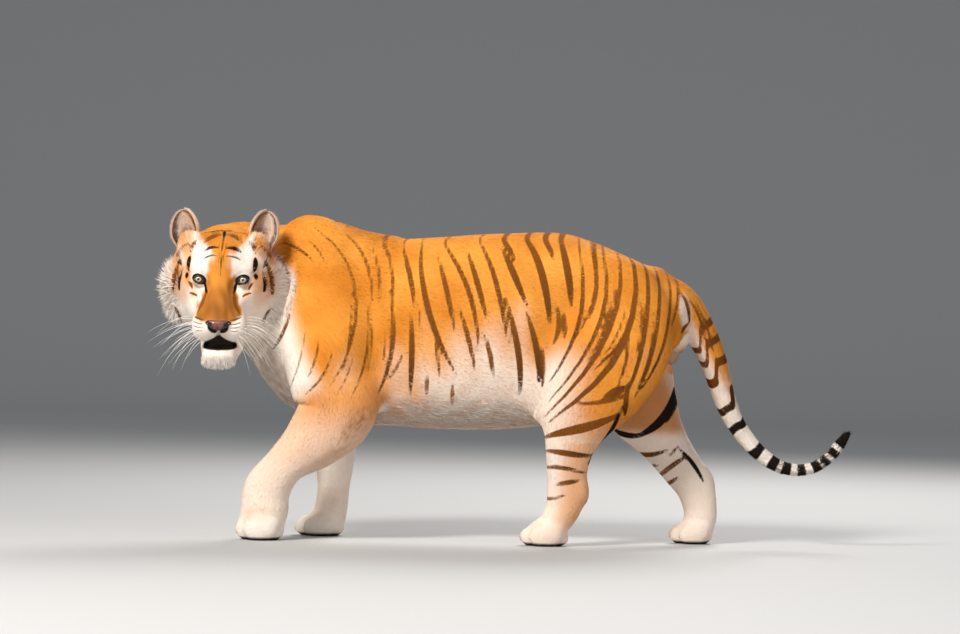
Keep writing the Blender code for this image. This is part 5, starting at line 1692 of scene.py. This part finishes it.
def ear_sheet(side, t, turn, inset):
    """Points of the cup at height share t and angle turn from its back.

    Half width times sine goes aside, and depth times cosine goes behind. The half width is that of a
    rounded arch, and the inset thins it.
    """
    up, out, ahead = ear_axes(side)
    foot = head_point(EAR_FOOT[0], side * EAR_FOOT[1], EAR_FOOT[2])
    half = 0.5 * EAR_WIDE * (1 - np.clip(t, 0, 1) ** 3.4) ** 0.5 * (0.60 + 0.40 * ramp(t, 0.0, 0.55)) - inset
    half = np.maximum(half, 0.0003)
    depth = half * (0.80 - 0.38 * t)
    height = (EAR_TALL - inset) * t
    lean = 0.020 * t**2
    aside = half * np.sin(turn)
    return (
        foot + height[..., None] * up + aside[..., None] * out
        - (depth * np.cos(turn) - 0.35 * depth + lean)[..., None] * ahead
    )


EAR_ROWS, EAR_COLUMNS, EAR_SWEEP = 26, 29, math.radians(112)


def ear_mesh(side, name):
    """Rows from foot to tip; in each, the outside from edge to edge and then the inside back again."""
    t = np.sin(np.linspace(0, math.pi / 2, EAR_ROWS)) * 0.999
    t, sweep = np.meshgrid(t, np.linspace(-EAR_SWEEP, EAR_SWEEP, EAR_COLUMNS), indexing="ij")
    rows = np.concatenate([ear_sheet(side, t, sweep, 0), ear_sheet(side, t, sweep[:, ::-1], EAR_WALL)], 1)
    return tube_mesh(rows if side < 0 else rows[:, ::-1], name)


def ear_material():
    """Gold outside with a dark back and a pale spot, and pale pink inside with painted shade that darkens the
    hollow.
    """
    made, tree, shader = new_material("ear_skin")
    tone = mix(tree, read(tree, "inside"), (0.72, 0.30, 0.060, 1), (0.42, 0.26, 0.19, 1))
    # Painted shade: the hollow of the cup is darkened.
    tone = mix(tree, read(tree, "hollow"), tone, (0.10, 0.035, 0.022, 1))
    tone = mix(tree, read(tree, "back"), tone, (0.10, 0.030, 0.006, 1))
    tone = mix(tree, read(tree, "spot"), tone, (0.86, 0.80, 0.72, 1))
    relief = bumped(tree, noise(tree, 300), 0.4, 0.0015)
    give(tree, shader, {"Base Color": tone, "Normal": relief, "Roughness": 0.75})
    return made


def ear_marks(side, points):
    """Height share, hollow (where shade is painted), dark back and white spot of an ear at places on or near
    it.
    """
    up, out, _ = ear_axes(side)
    away = points - head_point(EAR_FOOT[0], side * EAR_FOOT[1], EAR_FOOT[2])
    height, aside = away @ up / EAR_TALL, away @ out / EAR_WIDE * 2
    hollow = ramp(np.hypot(aside / 0.62, (height - 0.36) / 0.34), 1.05, 0.45)
    back = ramp(np.hypot(aside, (height - 0.50) * 1.5), 0.88, 0.66)
    spot = ramp(np.hypot(aside / 0.42, (height - 0.62) / 0.20), 1.1, 0.8)
    return {"height": height, "hollow": hollow, "back": back, "spot": spot}


EAR_SKIN = ear_material()
for side, word in ((1, "left"), (-1, "right")):
    mesh = ear_mesh(side, f"ear_cup_{word}")
    found = ear_marks(side, mesh_points(mesh))
    column = np.tile(np.arange(2 * EAR_COLUMNS), EAR_ROWS)
    column = column if side < 0 else 2 * EAR_COLUMNS - 1 - column
    inner = (column >= EAR_COLUMNS - 3) + 0.9 * (column < 3)        # the rim's three columns count as inside
    write_numbers(mesh, "inside", np.maximum(inner, ramp(found["height"], 0.90, 0.96)))
    # Painted shade over the hollow of the cup's inside.
    write_numbers(mesh, "hollow", 0.8 * (column >= EAR_COLUMNS) * found["hollow"])
    write_numbers(mesh, "back", (1 - inner) * found["back"])
    write_numbers(mesh, "spot", (1 - inner) * found["spot"])
    add_piece(f"ear_cup_{word}", mesh, EAR_SKIN, "gold_coat", f"ear_{word}")
print("ear cups:", EAR_TALL, "tall and", EAR_WIDE, "wide")

# %% [markdown]
# Long pale hair fills the cup from its inner edge, and short hair covers the outside and the rim. These
# tufts are the same spikes as the coat's, rooted on the cup's own sheet.

# %% Hair of the ears
def ear_hair(side, name):
    """Tufts outside along the sheet to the rim, and inside from the edges across the hollow."""
    outside, within = 4200, 4600
    count = outside + within
    inner = np.arange(count) >= outside
    t = rng.uniform(0.02, 0.985, count)
    turn = rng.uniform(-1, 1, count)
    turn = np.where(inner, np.sign(turn) * np.abs(turn) ** 0.5, turn) * EAR_SWEEP
    inset = np.where(inner, EAR_WALL, 0.0)
    place = ear_sheet(side, t, turn, inset)
    to_tip = unit(ear_sheet(side, np.minimum(t + 0.02, 0.999), turn, inset) - place)
    to_edge = unit(ear_sheet(side, t, turn + 0.03, inset) - place)
    normal = unit(np.cross(to_edge, to_tip))
    core = (ear_sheet(side, t, 0 * t, inset) + ear_sheet(side, t, 0 * t + 2.4, inset)) / 2
    outwards = np.sign((normal * (place - core)).sum(1)) * np.where(inner, -1, 1)
    normal = normal * outwards[:, None]
    inwards = -np.sign(turn)[:, None] * to_edge
    lie = np.where(inner[:, None], to_tip * 0.9 + inwards * 0.75, to_tip)
    lie = lie + 0.15 * rng.normal(size=(count, 3))
    lie = unit(lie - (lie * normal).sum(1)[:, None] * normal)
    near_edge = ramp(np.abs(turn), 0.30 * EAR_SWEEP, EAR_SWEEP)
    length = np.where(inner, 0.011 + 0.022 * near_edge * (1 - 0.70 * t), 0.0085)
    length = length * rng.uniform(0.7, 1.2, count)
    lift = (np.where(inner, 0.30, 0.20) + 0.35 * near_edge) * rng.uniform(0.6, 1.4, count)
    width = np.full(count, 0.0013)
    flat = np.stack([turn / EAR_SWEEP * 0.5 + 0.5, (t + inner) / 2], 1) * (1 - 2 * PATCH)
    found = ear_marks(side, place)
    to_middle = ramp(-turn, 0.05 * EAR_SWEEP, 0.60 * EAR_SWEEP)
    at_rim = np.maximum(ramp(np.abs(turn), 0.72 * EAR_SWEEP, 0.88 * EAR_SWEEP), ramp(t, 0.86, 0.93))
    outer_gold = 0.85 * (found["spot"] < 0.5) * (1 - 0.8 * at_rim)
    gold = np.where(inner, 0.16 + 0.66 * to_middle * ramp(t, 0.15, 0.5), outer_gold)
    # The inner hair is brown, and darker in the hollow as painted shade.
    brown = np.where(inner, 0.24 + 0.60 * found["hollow"] * (0.7 + 0.6 * wander(place, 120, 18)), 0.16)
    dark_back = ~inner & (found["back"] > 0.5) & (found["spot"] < 0.5) & (at_rim < 0.5)

    def marks_at(_, rows):
        """The marks of the tufts whose row numbers come in the place of the parts' fields."""
        some = rows[0].astype(int)
        marks = gold[some], np.where(dark_back[some], 0.01, -0.01), np.full(len(some), 0.55), brown[some]
        return dict(zip(MARK_NAMES, (*marks, np.zeros(len(some)))))

    rows = np.arange(count)[None].astype(float)
    return add_hair(name, place, rows, normal, lie, length, width, lift, flat, marks_at)


for side, word in ((1, "left"), (-1, "right")):
    print(f"coat_ear_{word}:", ear_hair(side, f"coat_ear_{word}"), "triangles")

# %% [markdown]
# ## Whiskers
# Whiskers are stiff white bristles in four rows on each lip, with a few over each eye. Each is a tapered
# tube along a path that leaves the lip sideways and droops as a parabola.

# %% Whiskers
def bristle(root, way, length, droop, thick):
    """Rings of one bristle: root + length t way - droop t squared down, and a radius falling to the tip."""
    t = np.linspace(0, 1, 9)
    path = root + length * t[:, None] * unit(way[None])[0] + droop * t[:, None] ** 2 * np.array([0, 0.15, -1])
    along = unit(np.gradient(path, axis=0))
    first = unit(np.cross(along, np.array([0.13, 0.31, 0.94])))
    return rings_round(path, thick * (1 - 0.88 * t), first, np.cross(along, first), 5)


WHISKER_WHITE, tree, shader = new_material("whisker_white")
whites = mix(tree, noise(tree, 25), (0.92, 0.90, 0.86, 1), (0.80, 0.75, 0.66, 1))
give(tree, shader, {"Base Color": whites, "Roughness": 0.38})

for side, word in ((1, "left"), (-1, "right")):
    bristles = []
    for row in range(4):
        for place in range(6 - row % 2):
            forward = 0.118 - 0.015 * place - 0.004 * row
            at = (forward, side * (0.046 + 0.0062 * place - 0.002 * row), -0.094 - 0.0125 * row)
            long = rng.uniform(0.09, 0.15) * (0.65 + 0.08 * place)
            way = np.array([side * (0.80 + 0.05 * place), 0.10 - 0.30 / (place + 1), 0.06 - 0.16 * row])
            way = way + 0.08 * rng.normal(size=3)
            bristles.append(bristle(head_point(*at), way, long, rng.uniform(0.03, 0.09), 0.00085))
    for place in range(4):
        at = (0.010, side * (0.050 + 0.012 * place), 0.032 - 0.002 * place)
        way = np.array([side * (0.25 + 0.22 * place), -0.55, 0.75])
        way = way + 0.08 * rng.normal(size=3)
        bristles.append(bristle(head_point(*at), way, rng.uniform(0.045, 0.07), 0.008, 0.0005))
    mesh = tube_mesh(bristles, f"whiskers_{word}")
    face_outwards(mesh)
    add_piece(f"whiskers_{word}", mesh, WHISKER_WHITE, "cream_coat")
    print(f"whiskers_{word}:", len(bristles), "bristles")
